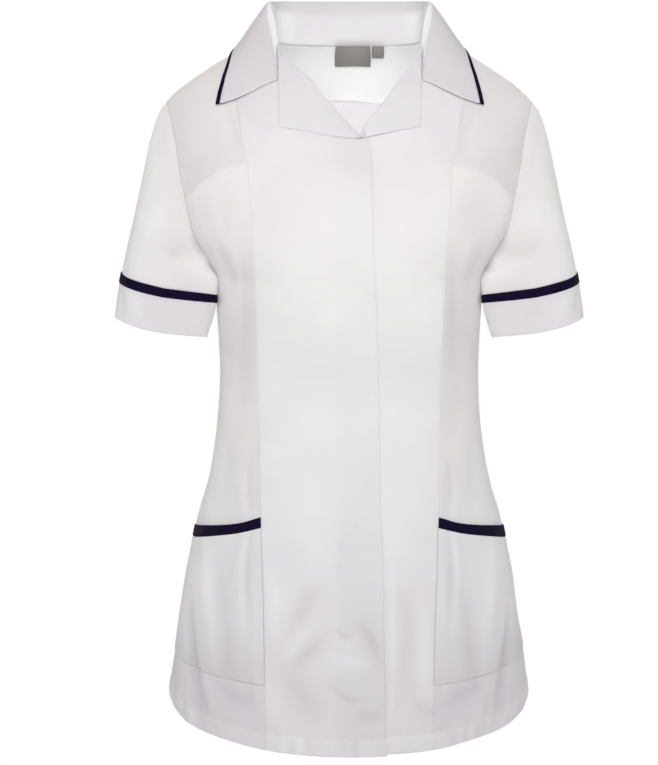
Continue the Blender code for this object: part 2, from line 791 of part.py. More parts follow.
def facing_grid(panel):
    middle = panel.shape[1] // 2
    columns = np.arange(-FACING_COLUMNS, FACING_COLUMNS + 1)
    top = panel.shape[0] - 1.2
    low = back_rows(panel, FACING_DEPTH) + FACING_SLANT * columns / FACING_COLUMNS
    part = np.linspace(0, 1, FACING_ROWS + 1)[:, None]
    rows = low * (1 - part) + top * part
    grid = sampled(panel, rows, columns + middle + 0 * rows)
    return moved_out(grid, -CLOTH - 2 * LAYER)


def label_grid(panel, centre, width, drop):
    """A small label that hangs from the neck seam, made from the back's points."""
    middle = panel.shape[1] // 2
    spacing = panel[-1, middle - 1, 0]
    columns = middle - (centre + width * np.array([0.5, 0, -0.5])) / spacing
    top = panel[-1, middle, 2]
    rows = back_rows(panel, np.array([top - drop, top - drop / 2, top - 0.0004]))
    grid = sampled(panel, rows[:, None] + 0 * columns, columns + 0 * rows[:, None])
    upward = grid[-1] - grid[0]
    upward /= np.linalg.norm(upward, axis=-1, keepdims=True)
    return moved_out(grid, -2 * CLOTH - 3 * LAYER) + upward * LABEL_RISE


# Pieces as meshes
def material(name, colour, roughness):
    made = bpy.data.materials.new(name)
    made.use_nodes = True
    shader = made.node_tree.nodes["Principled BSDF"]
    shader.inputs["Base Color"].default_value = (*colour, 1)
    shader.inputs["Roughness"].default_value = roughness
    return made


def wall(name, grid, thickness, cloth, loops=False):
    """A named solid: the grid is its outer face and the wall grows inwards from it."""
    rows, columns = grid.shape[:2]
    if loops:
        columns -= 1
        grid = grid[:, :columns]
    faces = []
    for i in range(rows - 1):
        for j in range(columns if loops else columns - 1):
            k = (j + 1) % columns
            faces.append((
                i * columns + j, i * columns + k,
                (i + 1) * columns + k, (i + 1) * columns + j,
            ))
    mesh = bpy.data.meshes.new(name)
    mesh.from_pydata(grid.reshape(-1, 3).tolist(), [], faces)
    mesh.materials.append(cloth)
    mesh.shade_smooth()
    piece = bpy.data.objects.new(name, mesh)
    garment.objects.link(piece)
    solid = piece.modifiers.new("Wall", "SOLIDIFY")
    solid.thickness = thickness
    solid.offset = -1
    solid.use_even_offset = True
    return piece


def pair(name, grid, thickness, cloth, loops=False):
    """The same piece for the wearer's left and right."""
    wall(name + "_left", grid, thickness, cloth, loops)
    wall(name + "_right", mirrored(grid), thickness, cloth, loops)


for old in list(bpy.data.objects):
    bpy.data.objects.remove(old)
garment = bpy.data.collections.new("revere_collar_tunic")
bpy.context.scene.collection.children.link(garment)

white = material("white_twill", (0.80, 0.79, 0.81), 0.85)
navy = material("navy_twill", (0.020, 0.012, 0.045), 0.80)
grey = material("grey_label", (0.22, 0.21, 0.20), 0.70)

front_left = tucked_under(front_grid(hidden_edge, BREAK_LEFT, ROLL_LEFT, LEFT_HEM_LIFT))
front_right = front_grid(closure_edge, BREAK_RIGHT, ROLL_RIGHT)
wall("front_left", seamed(front_left), CLOTH, white)
wall("front_right", mirrored(seamed(front_right)), CLOTH, white)
side_front = side_front_grid()
pair("side_front", seamed(side_front), CLOTH, white)
back = back_grid()
wall("back", seamed(back), CLOTH, white)

sleeve = sleeve_grid(np.array(SLEEVE_SHARES))
pair("sleeve", inset(sleeve, "top bottom"), CLOTH, white, loops=True)
band = moved_out(sleeve_grid(np.linspace(BAND_START, BAND_END, 2)), BAND_LIFT)
pair("cuff_trim", inset(band, "top bottom"), BINDING, navy, loops=True)
cuff = moved_out(sleeve_grid(np.linspace(BAND_END, 1, 3)), CUFF_LIFT)
pair("cuff", inset(cuff, "top bottom"), CUFF_CLOTH, white, loops=True)

collar = collar_grid(COLLAR_STEPS)
wall("collar", inset(collar), CLOTH, white)
edging = collar_grid(COLLAR_STEPS, edging=True)
wall("collar_trim", inset(edging), BINDING, navy)

revere_left = revere_grid(ROLL_LEFT, LEFT_REVERE_END, REVERE_EDGE_LEFT, REVERE_STEPS, REVERE_ROWS)
revere_right = revere_grid(ROLL_RIGHT, 1, REVERE_EDGE_RIGHT, REVERE_STEPS, REVERE_ROWS)
wall("lapel_left", inset(revere_left), CLOTH, white)
wall("lapel_right", mirrored(inset(revere_right)), CLOTH, white)

pocket = pocket_grid(side_front, "bottom", "binding", POCKET_ROWS)
pair("pocket", inset(pocket), CLOTH, white)
pocket_trim = moved_out(pocket_grid(side_front, "binding", "mouth", 1), BINDING - CLOTH)
pair("pocket_trim", inset(pocket_trim), BINDING, navy)

wall("back_neck_facing", inset(facing_grid(back)), CLOTH, white)
label = label_grid(back, LABEL_CENTRE, LABEL_WIDTH, LABEL_DROP)
wall("label_main", label, LABEL_CLOTH, grey)
tab = label_grid(back, TAB_CENTRE, TAB_WIDTH, TAB_DROP)
wall("label_size", tab, LABEL_CLOTH, grey)
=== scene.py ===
"""Looks of the revere collar tunic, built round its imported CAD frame.

Metres. X runs to the wearer's left, Y to the wearer's back, Z up. The origin is midway
between the two points where the shoulder seams meet the neck. Every cloth piece is a fine
shell on the form of its CAD solid, with its seams, hems and folds.
"""
import json
from functools import partial

import bpy
import numpy as np
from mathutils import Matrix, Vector

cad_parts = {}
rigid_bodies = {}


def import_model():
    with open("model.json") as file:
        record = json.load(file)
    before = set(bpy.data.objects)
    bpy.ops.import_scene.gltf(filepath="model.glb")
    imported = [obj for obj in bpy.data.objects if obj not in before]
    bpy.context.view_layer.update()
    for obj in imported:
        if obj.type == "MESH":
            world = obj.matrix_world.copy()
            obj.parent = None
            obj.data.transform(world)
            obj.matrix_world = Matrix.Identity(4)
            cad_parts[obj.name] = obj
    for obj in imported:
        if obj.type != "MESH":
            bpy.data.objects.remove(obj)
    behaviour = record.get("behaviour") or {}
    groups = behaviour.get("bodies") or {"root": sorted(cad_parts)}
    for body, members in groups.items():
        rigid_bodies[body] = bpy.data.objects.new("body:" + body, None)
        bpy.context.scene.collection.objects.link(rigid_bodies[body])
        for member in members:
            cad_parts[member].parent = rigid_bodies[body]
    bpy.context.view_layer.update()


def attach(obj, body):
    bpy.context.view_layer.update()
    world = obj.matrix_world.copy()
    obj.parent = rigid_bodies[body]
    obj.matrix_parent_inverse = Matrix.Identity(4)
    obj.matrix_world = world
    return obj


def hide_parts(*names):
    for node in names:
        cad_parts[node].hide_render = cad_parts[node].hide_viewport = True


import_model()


def table(names, *rows):
    """A table with named columns; its first column is the key that the others follow."""
    columns = np.array(rows, dtype=float).T
    order = np.argsort(columns[0])
    return {name: column[order] for name, column in zip(names.split(), columns)}


def fold_table(*rows):
    """A table of folds, given in millimetres."""
    names = "side across_a height_a across_b height_b across_c height_c width depth"
    folds = table(names, *rows)
    return {
        name: column if name == "side" else column / 1000 for name, column in folds.items()
    }


SIDES = (("left", 1), ("right", -1))  # the wearer's sides, and the sign of X there
MIRROR = np.array([-1, 1, 1])

# Camera and lights
CAMERA_PLACE = (-0.0210, -2.3, -0.010)
CAMERA_PITCH = 8.823         # degrees below the horizon
CAMERA_LENS = 103.84
CAMERA_CLIP = (0.05, 60)
FLOOR_HEIGHT = -1.38         # where the wearer would stand
FLOOR_CORNERS = [
    (-1.7, -1.7, FLOOR_HEIGHT), (1.7, -1.7, FLOOR_HEIGHT),
    (1.7, 1.6, FLOOR_HEIGHT), (-1.7, 1.6, FLOOR_HEIGHT),
]
LIGHTS = (
    # name, place, aims at, width, height, watts
    ("key", (-0.03, -1.60, 0.52), (0.0, 0.0, -0.24), 1.4, 0.9, 28.0),
    ("left", (2.2, -0.8, 0.4), (0.0, 0.0, -0.25), 1.4, 1.8, 14.5),
    ("right", (-2.2, -0.8, 0.4), (0.0, 0.0, -0.25), 1.4, 1.8, 14.5),
    ("rear", (0.0, 2.6, 1.0), (0.0, 0.0, -0.30), 2.0, 2.0, 48.0),
    ("hollow", (0.02, -0.050, -0.180), (0.0, 0.100, -0.020), 0.15, 0.05, 0.19),
)
SIDE_LIGHTS = ("left", "right")  # these pass the sleeves
SLEEVE_PIECES = ("cloth_sleeve", "cloth_cuff")
WORLD_LIGHT = (0.15, 0.43)   # from below and from above

# Cloth
CLOTH = 0.0007               # one layer, as it is drawn
BINDING = 0.0011             # the navy binding, which is folded double
LAYER = 0.0004               # air between a piece and what it lies on
SEAM_ROLL = (0.0020, 0.0003)  # width and depth by which cloth rolls down into a seam
EDGE_ROLL = (0.0014, 0.0006)  # the same at a free folded edge
EDGE_SAMPLES = (0.12, 0.3, 0.55)  # extra lines in the first cell beside each edge
RIM_BULGE = 0.4              # how far a rim stands out, as a share of the cloth's thickness
HEM_DEPTH = 0.017            # width of the turned-up hem
HEM_STEP = 0.0006            # the hem's extra layer
PUCKER_RATES = (41, 67, 97)  # the hem's small waves to the metre
STITCH_LENGTH = 0.0026
STITCH_GAP = 0.0010
STITCH_RADIUS = 0.00022
TRIM_STITCH = 0.0016         # distance of the stitches from the edges of a sleeve's band
POCKET_STITCH = 0.0018       # the same from the lower edge of a pocket's binding

# Body of the garment
SHOULDER_ROUNDNESS = 1.8     # exponent of the fore-and-aft curve over the shoulder
FRONT_SHOULDER_DROP = 0.14   # how far below the shoulder the front has its full depth
BACK_SHOULDER_DROP = 0.09    # the same for the back
UNDERARM = -0.252            # height where the side seam meets the armhole
CHEST_SPLIT = -0.150         # height where the upper rows of the fronts begin

# Opening and princess seams, measured outwards from the centre on each side
UNDER_FRONT_EDGE = -0.012    # hidden edge of the left front, past the centre
SHOULDER_PRINCESS = 0.125    # where the princess seam meets the shoulder seam
SHOULDER_AT = 0.65           # share of the neck seam where the shoulder seam meets it
BREAK_RIGHT, BREAK_LEFT = -0.1085, -0.118  # heights where the fronts' edges turn to revers
TUCK_FROM, TUCK_TO = 0.004, 0.030  # past the overlap, where the left front comes forward
LEFT_HEM_LIFT = 0.0035       # the left front is this much shorter at the centre

# Sections of the body; a roundness of 2 is an ellipse
BODY = table(
    "height half_width front_depth back_depth roundness",
    (0.03, 0.197, 0.09, 0.088, 2.5), (-0.05, 0.196, 0.094, 0.093, 2.5),
    (-0.0734, 0.195, 0.097, 0.098, 2.5), (-0.1, 0.191, 0.103, 0.103, 2.5),
    (-0.138, 0.184, 0.112, 0.108, 2.5), (-0.1677, 0.1785, 0.119, 0.11, 2.5),
    (-0.2, 0.168, 0.124, 0.109, 2.5), (-0.2347, 0.147, 0.126, 0.105, 2.5),
    (-0.252, 0.1395, 0.125, 0.103, 2.5), (-0.28, 0.1384, 0.122, 0.098, 2.5),
    (-0.327, 0.1362, 0.114, 0.088, 2.5), (-0.35, 0.1354, 0.11, 0.085, 2.5),
    (-0.375, 0.1361, 0.108, 0.086, 2.48), (-0.407, 0.1385, 0.108, 0.09, 2.45),
    (-0.4394, 0.1431, 0.109, 0.098, 2.42), (-0.472, 0.1498, 0.11, 0.108, 2.38),
    (-0.5043, 0.159, 0.113, 0.117, 2.32), (-0.537, 0.166, 0.116, 0.123, 2.26),
    (-0.57, 0.1728, 0.119, 0.127, 2.2), (-0.603, 0.1776, 0.122, 0.13, 2.15),
    (-0.636, 0.1828, 0.124, 0.132, 2.1), (-0.669, 0.1883, 0.126, 0.134, 2.07),
    (-0.7025, 0.193, 0.128, 0.135, 2.05), (-0.74, 0.198, 0.13, 0.137, 2.05),
)

# The shoulder line, from the neck to the armhole and on
SHOULDER = table(
    "out height",
    (0, 0.007), (0.03, 0.006), (0.06, 0.0025), (0.079, -0.003), (0.1, -0.012), (0.12, -0.0235),
    (0.1331, -0.0314), (0.1455, -0.04), (0.158, -0.048), (0.1705, -0.057), (0.183, -0.0665),
    (0.1888, -0.0734), (0.2, -0.09),
)

# How far out the front and the back of the armhole are
ARMHOLE = table(
    "height front_out back_out",
    (-0.0734, 0.1888, 0.1888), (-0.0911, 0.1837, 0.185), (-0.114, 0.1783, 0.1795),
    (-0.143, 0.1733, 0.175), (-0.1678, 0.168, 0.1695), (-0.1915, 0.1632, 0.164),
    (-0.208, 0.159, 0.1595), (-0.222, 0.1522, 0.1525), (-0.2347, 0.144, 0.144),
    (-0.252, 0.1395, 0.1395),
)

# The princess seam
PRINCESS = table(
    "height out",
    (-0.027, 0.125), (-0.058, 0.1188), (-0.0892, 0.1118), (-0.1203, 0.1046), (-0.1426, 0.1014),
    (-0.166, 0.1003), (-0.2197, 0.0966), (-0.2901, 0.0945), (-0.3794, 0.0924),
    (-0.4894, 0.0907), (-0.607, 0.0878), (-0.6835, 0.0865), (-0.74, 0.0862),
)

# The right front's leading edge, past the centre
CLOSURE = table(
    "height out",
    (-0.1085, -0.019), (-0.118, -0.0203), (-0.1341, -0.0213), (-0.2013, -0.0227),
    (-0.2439, -0.0248), (-0.2874, -0.0269), (-0.3682, -0.0292), (-0.4531, -0.0306),
    (-0.5203, -0.0334), (-0.6339, -0.0356), (-0.6991, -0.0368), (-0.74, -0.0384),
)

# The hem, by the angle round the body
HEM = table(
    "angle height",
    (-90, -0.701), (-80, -0.704), (-70, -0.711), (-60, -0.7172), (-40, -0.7253), (-20, -0.7322),
    (0, -0.7345), (20, -0.7322), (40, -0.7253), (60, -0.7172), (70, -0.711), (80, -0.704),
    (90, -0.701),
)

# Neck seam, from the centre back round to the top of the gorge, on the body's surface
NECK = table(
    "along out back",
    (0, 0, 0.0555), (0.2, 0.029, 0.054), (0.4, 0.057, 0.048), (0.55, 0.075, 0.034),
    (0.65, 0.079, 0), (0.8, 0.0785, -0.013), (0.9, 0.077, -0.025), (1, 0.0745, -0.037),
)

# Roll lines of the two revers, from the gorge to the break
ROLL_RIGHT = table(
    "along out height",
    (0, 0.0745, -0.0168), (0.11, 0.0686, -0.0295), (0.27, 0.0552, -0.04), (0.42, 0.0412, -0.05),
    (0.6, 0.0282, -0.0661), (0.74, 0.0163, -0.0792), (0.86, 0.0053, -0.0912),
    (0.96, -0.0065, -0.1018), (1, -0.0115, -0.1062),
)

ROLL_LEFT = table(
    "along out height",
    (0, 0.0745, -0.0168), (0.1, 0.0706, -0.028), (0.3, 0.0554, -0.0454),
    (0.58, 0.0373, -0.0688), (0.7, 0.0292, -0.0796), (0.84, 0.0184, -0.0911),
    (1, 0.0098, -0.1012),
)

# Rows and columns of the panels
EASE = 2.2                   # exponent by which rows crowd towards the shoulder
LOWER_ROWS = 190             # hem to underarm
SIDE_ROWS = 96               # underarm to shoulder
CHEST_ROWS = 40              # of those, the rows below CHEST_SPLIT
BREAK_STEPS = 4
ROLL_STEPS = 34
NECK_STEPS = 10
INNER_SHOULDER_STEPS = 16
SIDE_STEPS = 62
BACK_NECK_STEPS = 20
BACK_INNER_STEPS = 10
BACK_SIDE_STEPS = 44

# Sleeve rings: outer and inner points in the plane of the shoulders, and half the depth
SLEEVE = table(
    "along outer_x outer_z inner_x inner_z half_depth",
    (0, 0.1888, -0.0734, 0.14, -0.2525, 0.05), (0.08, 0.1995, -0.0919, 0.1404, -0.253, 0.0535),
    (0.2, 0.2078, -0.119, 0.1408, -0.2545, 0.0565),
    (0.4, 0.2165, -0.1575, 0.1411, -0.258, 0.0585),
    (0.6, 0.225, -0.196, 0.1415, -0.2625, 0.059),
    (0.84, 0.2366, -0.2486, 0.1419, -0.2698, 0.0585),
    (0.875, 0.2387, -0.2583, 0.1423, -0.278, 0.0585),
    (1, 0.2446, -0.294, 0.1528, -0.312, 0.0585),
)

OUTER_SQUARENESS = 3.0       # 2 is an ellipse; the arm side of a ring
INNER_SQUARENESS = 5.0       # the body side of a ring
INNER_WRAP = 0.030           # how strongly its front and back corners reach round the body
SLEEVE_ROWS = 84
CAP_END = (0.50, 0.75, 0.75)  # share by which the armhole's shape has faded, out, back and up
SEAM_LAG = 1.77              # how late round the armhole the ring turns to its inner side
BACK_WRAP = 0.35             # how much of the wrap its back corner has
CAP_FULLNESS = 0.0009        # how far the cap stands out beside the armhole seam
CAP_PLACE, CAP_WIDTH = 0.010, 0.008  # where it does, down from the seam
BAND_START, BAND_END = 0.84, 0.875
BAND_LIFT = 0.0012           # the band stands this far out of the sleeve's surface
CUFF_LIFT = 0.0004           # the same for the cuff
CUFF_CLOTH = 0.0020          # wall of the cuff, turned up double
CUFF_SAG = 0.0030            # how much lower the cuff hangs between its two folds
SAG_FROM, SAG_TO = 0.140, 0.232  # where across the sleeve it does

# Collar, from the centre back round to the gorge: its fold, and its edge on the body
COLLAR = table(
    "along fold_out fold_back fold_height edge_out edge_back",
    (0, 0, 0.068, 0.03, 0, 0.076), (0.2, 0.034, 0.0645, 0.03, 0.045, 0.073),
    (0.4, 0.064, 0.05, 0.03, 0.088, 0.05), (0.55, 0.079, 0.027, 0.0296, 0.113, 0.022),
    (0.65, 0.083, 0, 0.0286, 0.1195, 0), (0.8, 0.0765, -0.02, 0.0094, 0.1245, -0.0345),
    (0.9, 0.0742, -0.032, -0.007, 0.1287, -0.0455),
    (1, 0.073, -0.0405, -0.015, 0.1323, -0.0533),
)

# Front end of the leaf, from the top of the gorge past the notch to the leaf's corner
LEAF_END = table(
    "along out height",
    (0, 0.0753, -0.0166), (0.18, 0.0733, -0.0337), (0.34, 0.0725, -0.0493),
    (0.45, 0.0815, -0.0534), (0.65, 0.0994, -0.0632), (0.82, 0.1144, -0.0701),
    (1, 0.1323, -0.075),
)

COLLAR_END = 0.98            # the collar stops just short of the revere at the gorge
COLLAR_STEPS = 84
STAND_STEPS = 12
LEAF_STEPS = 40
EDGING_STEPS = 6
EDGE_LIFT = 0.0021           # outer face of the leaf's edge above the body

# How much further out the leaf's outer edge lies low on the shoulders
LEAF_SPREAD = table(
    "height out",
    (-0.08, 0.0018), (-0.07, 0.0028), (-0.06, 0.0034), (-0.048, 0.0034), (-0.034, 0.0018),
    (-0.015, 0),
)
SPREAD_FROM, SPREAD_TO = 0.075, 0.118  # how far out that begins, and is in full
NECK_RISE = 0.0001           # the stand starts this far above the neck edge
FOLD_WIDTH = 0.003           # how far the fold's round reaches to each side
TRIM_WIDTH = 0.0050          # of the navy edge
TRIM_LIFT = 0.0003           # the navy edge stands this far out of the leaf's surface
STAND_LEAN = (0.1, 0.1, 0.6)  # how the stand leaves the neck seam, as a share of its rise
LEAF_END_FROM = 0.62         # the leaf turns towards its front end from here on

# Lower edges of the revers, from the break to the corner
REVERE_EDGE_RIGHT = table(
    "along out height",
    (0, -0.007, -0.1066), (0.1, 0.001, -0.1063), (0.35, 0.0218, -0.1038), (0.7, 0.0485, -0.099),
    (1, 0.0705, -0.0957),
)

REVERE_EDGE_LEFT = table(
    "along out height",
    (0, 0.0155, -0.1055), (0.3, 0.0307, -0.1023), (0.65, 0.0504, -0.0986), (1, 0.0705, -0.0957),
)

# Outer edge of a revere, up to the notch and on along the gorge
REVERE_SIDE = table(
    "height out",
    (-0.0957, 0.0705), (-0.0493, 0.0715), (-0.0337, 0.0716), (-0.0225, 0.0718),
)

REVERE_TOP = 0.05            # share of the roll line where a revere begins, at the gorge
REVERE_STEPS = 60
REVERE_ROWS = 40
REVERE_LIFT = 0.0022         # the fold stands this much further off than the edge
LEFT_REVERE_END = 0.93       # share of the left roll line where the right front covers it

# The last rows of a revere, round its fold: past the roll line, and above the body
REVERE_FOLD = ((0.0016, 0.0026), (0.0021, 0.0002))

# Patch pockets, set into the princess and side seams
POCKET = table(
    "across bottom binding mouth",
    (0, -0.6635, -0.502, -0.4912), (0.2, -0.6625, -0.5101, -0.4998),
    (0.4, -0.6605, -0.516, -0.505), (0.6, -0.658, -0.5216, -0.5094),
    (0.8, -0.6545, -0.527, -0.5143), (1, -0.65, -0.531, -0.5192),
)

POCKET_ROWS = 64
TRIM_ROWS = 5
MOUTH_STAND = 0.0015         # the mouth stands this much further off the side front

# Back neck facing and labels, inside the back
FACING_DEPTH = -0.0737       # height of the facing's lower edge at the centre
FACING_DROP = 0.0055         # how much lower its edge is on the wearer's left
FACING_ROWS = 24
LABEL_CENTRE, LABEL_WIDTH, LABEL_DROP = 0.0043, 0.0360, 0.0215
TAB_CENTRE, TAB_WIDTH, TAB_DROP = 0.0307, 0.0128, 0.0120
LABEL_CLOTH = 0.0010
LABEL_RISE = 0.0030          # the labels' top edge reaches up to the neck seam

# Folds, in millimetres. Each follows a curve from its first place to its third, bent towards
# its second, and fades out at both ends. A place is a distance round the body from the centre
# and a height. Side is 1 for the wearer's left, -1 for the right and 0 for both; depth is
# positive for a ridge.
FOLDS_FRONT = fold_table(
    # drag folds under the pocket corners, beside the princess seams
    (0, 101.5, -505, 110, -545, 103, -602, 3.8, -2.1),
    (0, 107, -508, 118, -548, 112, -610, 4.5, 2), (0, 115, -512, 125, -536, 127, -565, 4, -1.2),
    (0, 97, -540, 98, -600, 97.5, -690, 3, 0.9),
    # long soft folds that fall to the corners of the hem
    (-1, 194, -590, 181, -655, 165, -715, 8.5, -4.2),
    (-1, 170, -505, 158, -590, 147, -662, 11, 1.8),
    (-1, 142, -530, 134, -600, 128, -665, 11, -2.6),
    (1, 196, -600, 182, -655, 166, -712, 8.5, -3.8),
    (1, 168, -510, 157, -590, 149, -665, 10.5, 1.6),
    (1, 118, -560, 128, -620, 136, -672, 10, -3.2),
    # cloth sinks in under the pockets, above the hem
    (-1, 152, -664, 125, -690, 98, -684, 10, -2.6),
    (1, 150, -662, 124, -688, 100, -684, 10, -2.4),
    # creases through the hem
    (-1, 163, -679, 161, -694, 157, -712, 2.4, -2.4),
    (1, 151, -686, 150, -700, 148, -716, 2.2, -1.8),
    # broad waves in the lower fronts
    (-1, 34, -552, 46, -585, 61, -618, 9, -3), (-1, 22, -610, 42, -632, 60, -650, 9, -2.8),
    (-1, 46, -600, 56, -625, 72, -640, 8, 1.8), (-1, 80, -548, 78, -590, 82, -630, 9, 1.8),
    (-1, 66, -650, 50, -680, 30, -700, 12, -2.2), (-1, 20, -634, 0, -646, -20, -632, 12, 2.2),
    (-1, 21, -662, 2, -686, -22, -674, 4.2, -1.8), (1, 10, -596, 22, -616, 32, -642, 7, -3.2),
    (-1, 15, -602, 7, -613, -2, -611, 2.8, -1.8), (-1, -3, -594, -4, -606, -1, -618, 1.8, -1.2),
    (-1, 12, -618, 4, -622, -4, -617, 3, 1), (1, 6, -690, 20, -700, 34, -690, 8, -2.2),
    (-1, 90, -660, 80, -690, 70, -706, 10, 1.6), (1, 44, -540, 46.5, -610, 45, -700, 4.2, 1.6),
    (1, 57, -565, 64, -615, 60, -672, 8.5, -2.6), (1, 78, -590, 80, -630, 76, -680, 8, 1.8),
    (1, 70, -680, 80, -700, 92, -690, 8, -1.6),
    # small marks beside the overlap
    (1, 0, -494, 4, -499, 12, -500, 2.6, -1), (-1, 18, -535, 12, -541, 4, -537, 4.5, -1),
    (-1, 8, -505, 6, -520, 8, -532, 5, -0.6),
    # soft vertical folds beside the princess seams, bust to waist
    (0, 109, -218, 114, -275, 110, -345, 8.5, -2), (0, 135, -70, 122, -100, 114, -128, 8, -2),
    (0, 112, -78, 110, -100, 107, -122, 3, 1), (0, 116, -200, 120, -240, 122, -290, 11, 1.4),
    (0, 126, -165, 124, -185, 122, -205, 9, -1.2),
    (0, 145, -215, 130, -245, 122, -275, 8, -1.4),
    (0, 112, -300, 116, -350, 114, -400, 12, -1.6),
    (0, 104, -435, 107, -465, 102, -490, 4.2, -2),
    (0, 112, -450, 115, -475, 108, -500, 4.5, 1.4),
    (0, 140, -420, 134, -455, 130, -490, 11, -1.4),
)

FOLDS_BACK = fold_table(
    (0, 70, -160, 80, -230, 84, -310, 14, -2), (-1, 105, -190, 112, -250, 110, -320, 11, 1.8),
    (1, 98, -200, 108, -260, 112, -330, 11, 1.8), (1, 20, -300, 30, -345, 50, -380, 8, -2.2),
    (-1, 12, -320, 30, -360, 56, -385, 8, -2), (0, 52, -395, 76, -380, 104, -372, 7, -1.8),
    (-1, 30, -430, 34, -520, 44, -640, 15, 2.6), (1, 44, -430, 52, -530, 56, -650, 15, 2.4),
    (-1, 82, -440, 96, -560, 110, -700, 14, -3), (1, 88, -450, 104, -560, 122, -705, 14, -2.8),
    (-1, 120, -470, 146, -580, 168, -700, 13, 2.6),
    (1, 130, -470, 152, -590, 176, -700, 13, 2.4), (0, 2, -470, -4, -580, 4, -700, 15, -2),
    (-1, 118, -90, 132, -140, 146, -200, 10, -1.8),
    (1, 114, -85, 130, -140, 148, -205, 10, -1.8),
)

# On the sleeves and cuffs, a distance is round from the outer fold, and a height is below
# the armhole or the band
FOLDS_SLEEVE = fold_table(
    (0, 30, -150, 36, -168, 50, -180, 8, -1.2), (0, 85, -150, 94, -164, 100, -178, 8, -1.2),
    (0, 60, -110, 66, -140, 64, -170, 12, 1), (1, 110, -50, 120, -75, 122, -110, 8, -1.2),
    (-1, 104, -46, 116, -75, 120, -105, 8, -1.2), (0, -50, -60, -70, -100, -76, -150, 12, -1.4),
    (0, -100, -40, -115, -80, -110, -130, 10, 1.4),
)

FOLDS_CUFF = fold_table(
    (0, 36, -6, 46, -15, 50, -30, 6, -1.8), (0, 60, -4, 66, -18, 76, -34, 7, 1.2),
    (0, 10, -14, 12, -24, 18, -34, 5, -1.6), (-1, 22, -4, 26, -12, 34, -20, 5, -0.8),
    (1, 94, -6, 100, -18, 104, -30, 6, -0.9), (0, -60, -6, -70, -18, -72, -34, 7, -1),
)

FOLD_SAMPLES = 14
FOLD_REACH = 3               # how far a fold reaches to each side, in widths
GIRTH_HEIGHTS = np.linspace(-0.745, 0.005, 61)
GIRTH_ANGLES = np.linspace(0, 90, 91)

# Slow unevenness of the cloth: waves round the body and up it, by height
WAVES = (
    # waves round per metre, waves up per metre, phase, depth
    (9.0, 3.1, 0.4, 0.00050),
    (-6.0, 5.3, 1.9, 0.00045),
    (17.0, 7.0, 3.3, 0.00022),
    (-14.0, 11.0, 5.1, 0.00020),
    (23.0, -16.0, 0.9, 0.00010),
)

# Tones: 0 is the cloth's deep colour and 1 its pale one, paler also where cloth lies on cloth.
# The tones hold painted light and shade as well. The side fronts are deeper above the chest
# line.
CHEST_LINE = table(
    "out height",
    (0.09, -0.1325), (0.105, -0.133), (0.125, -0.137), (0.138, -0.1435), (0.15, -0.152),
    (0.162, -0.165), (0.18, -0.172),
)

# Painted shade on the fronts: deeper towards the hem and the shoulders, palest between chest
# and waist
FRONT_PAINTED_SHADE = table(
    "height tone",
    (-0.75, 0.34), (-0.69, 0.4), (-0.64, 0.44), (-0.5, 0.66), (-0.4, 0.75), (-0.28, 0.8),
    (-0.15, 0.6), (-0.08, 0.42), (0, 0.36),
)

# Painted shade on the side fronts: deeper under the bust and towards the hem
SIDE_PAINTED_SHADE = table(
    "height tone",
    (-0.75, 0.12), (-0.69, 0.17), (-0.64, 0.31), (-0.56, 0.38), (-0.49, 0.34), (-0.4, 0.4),
    (-0.35, 0.38), (-0.29, 0.24), (-0.24, 0.34), (-0.2, 0.5), (0, 0.5),
)

YOKE_TONE = 0.42
ARMHOLE_PAINTED_LIGHT = 0.15          # painted light: how much paler the side front is beside the armhole, where it lies in shade
FOLD_PAINTED_SHADING = 85               # painted light and shade: how much paler a ridge is, and deeper a trough, for each metre of its height
TRIM_TONE = 0.4
REVERE_TONE = 0.44
LABEL_TONE = 0.5
THREAD_TONE = 0.5
# paler where the facing lies on the back, and painted light in the hollow behind the neck
FACING_TONE = 0.93
SLEEVE_WARMTH = 0.3


def along(rows, name, key):
    """One column of a table at a key, by a smooth curve that never overshoots its rows."""
    keys = next(iter(rows.values()))
    values = rows[name]
    slopes = np.diff(values) / np.diff(keys)
    before, after = slopes[:-1], slopes[1:]
    turning = before * after <= 0
    inner = np.where(turning, 0, 2 * before * after / np.where(turning, 1, before + after))
    tangents = np.concatenate(([slopes[0]], inner, [slopes[-1]]))
    key = np.clip(key, keys[0], keys[-1])
    row = np.clip(np.searchsorted(keys, key) - 1, 0, len(keys) - 2)
    span = keys[row + 1] - keys[row]
    part = (key - keys[row]) / span
    rise = part * part * (3 - 2 * part)
    return (
        values[row] * (1 - rise) + values[row + 1] * rise
        + span * part * (1 - part) ** 2 * tangents[row]
        - span * part * part * (1 - part) * tangents[row + 1]
    )


def points(*coordinates):
    """Points, or pairs, from arrays of their coordinates."""
    return np.stack(np.broadcast_arrays(*coordinates), axis=-1)


def unit(vectors):
    return vectors / np.linalg.norm(vectors, axis=-1, keepdims=True)


def travelled(line, axis=0):
    """Distance of each point of a line, or of the lines of a grid, from its start."""
    steps = np.linalg.norm(np.diff(line, axis=axis), axis=-1)
    return np.insert(np.cumsum(steps, axis=axis), 0, 0, axis=axis)


def smooth_step(value, start, end):
    part = np.clip((value - start) / (end - start), 0, 1)
    return part * part * (3 - 2 * part)


def signed_power(value, exponent):
    return np.sign(value) * np.abs(value) ** exponent


# The body's surface
def shoulder_fall(out, height, face):
    """How far the body has swung from the shoulder line to its full depth, 0 to 1."""
    drop = FRONT_SHOULDER_DROP if face < 0 else BACK_SHOULDER_DROP
    below = (along(SHOULDER, "height", np.abs(out)) - height) / drop
    rest = 1 - np.clip(below, 0, 1)
    return (1 - rest ** SHOULDER_ROUNDNESS) ** (1 / SHOULDER_ROUNDNESS)


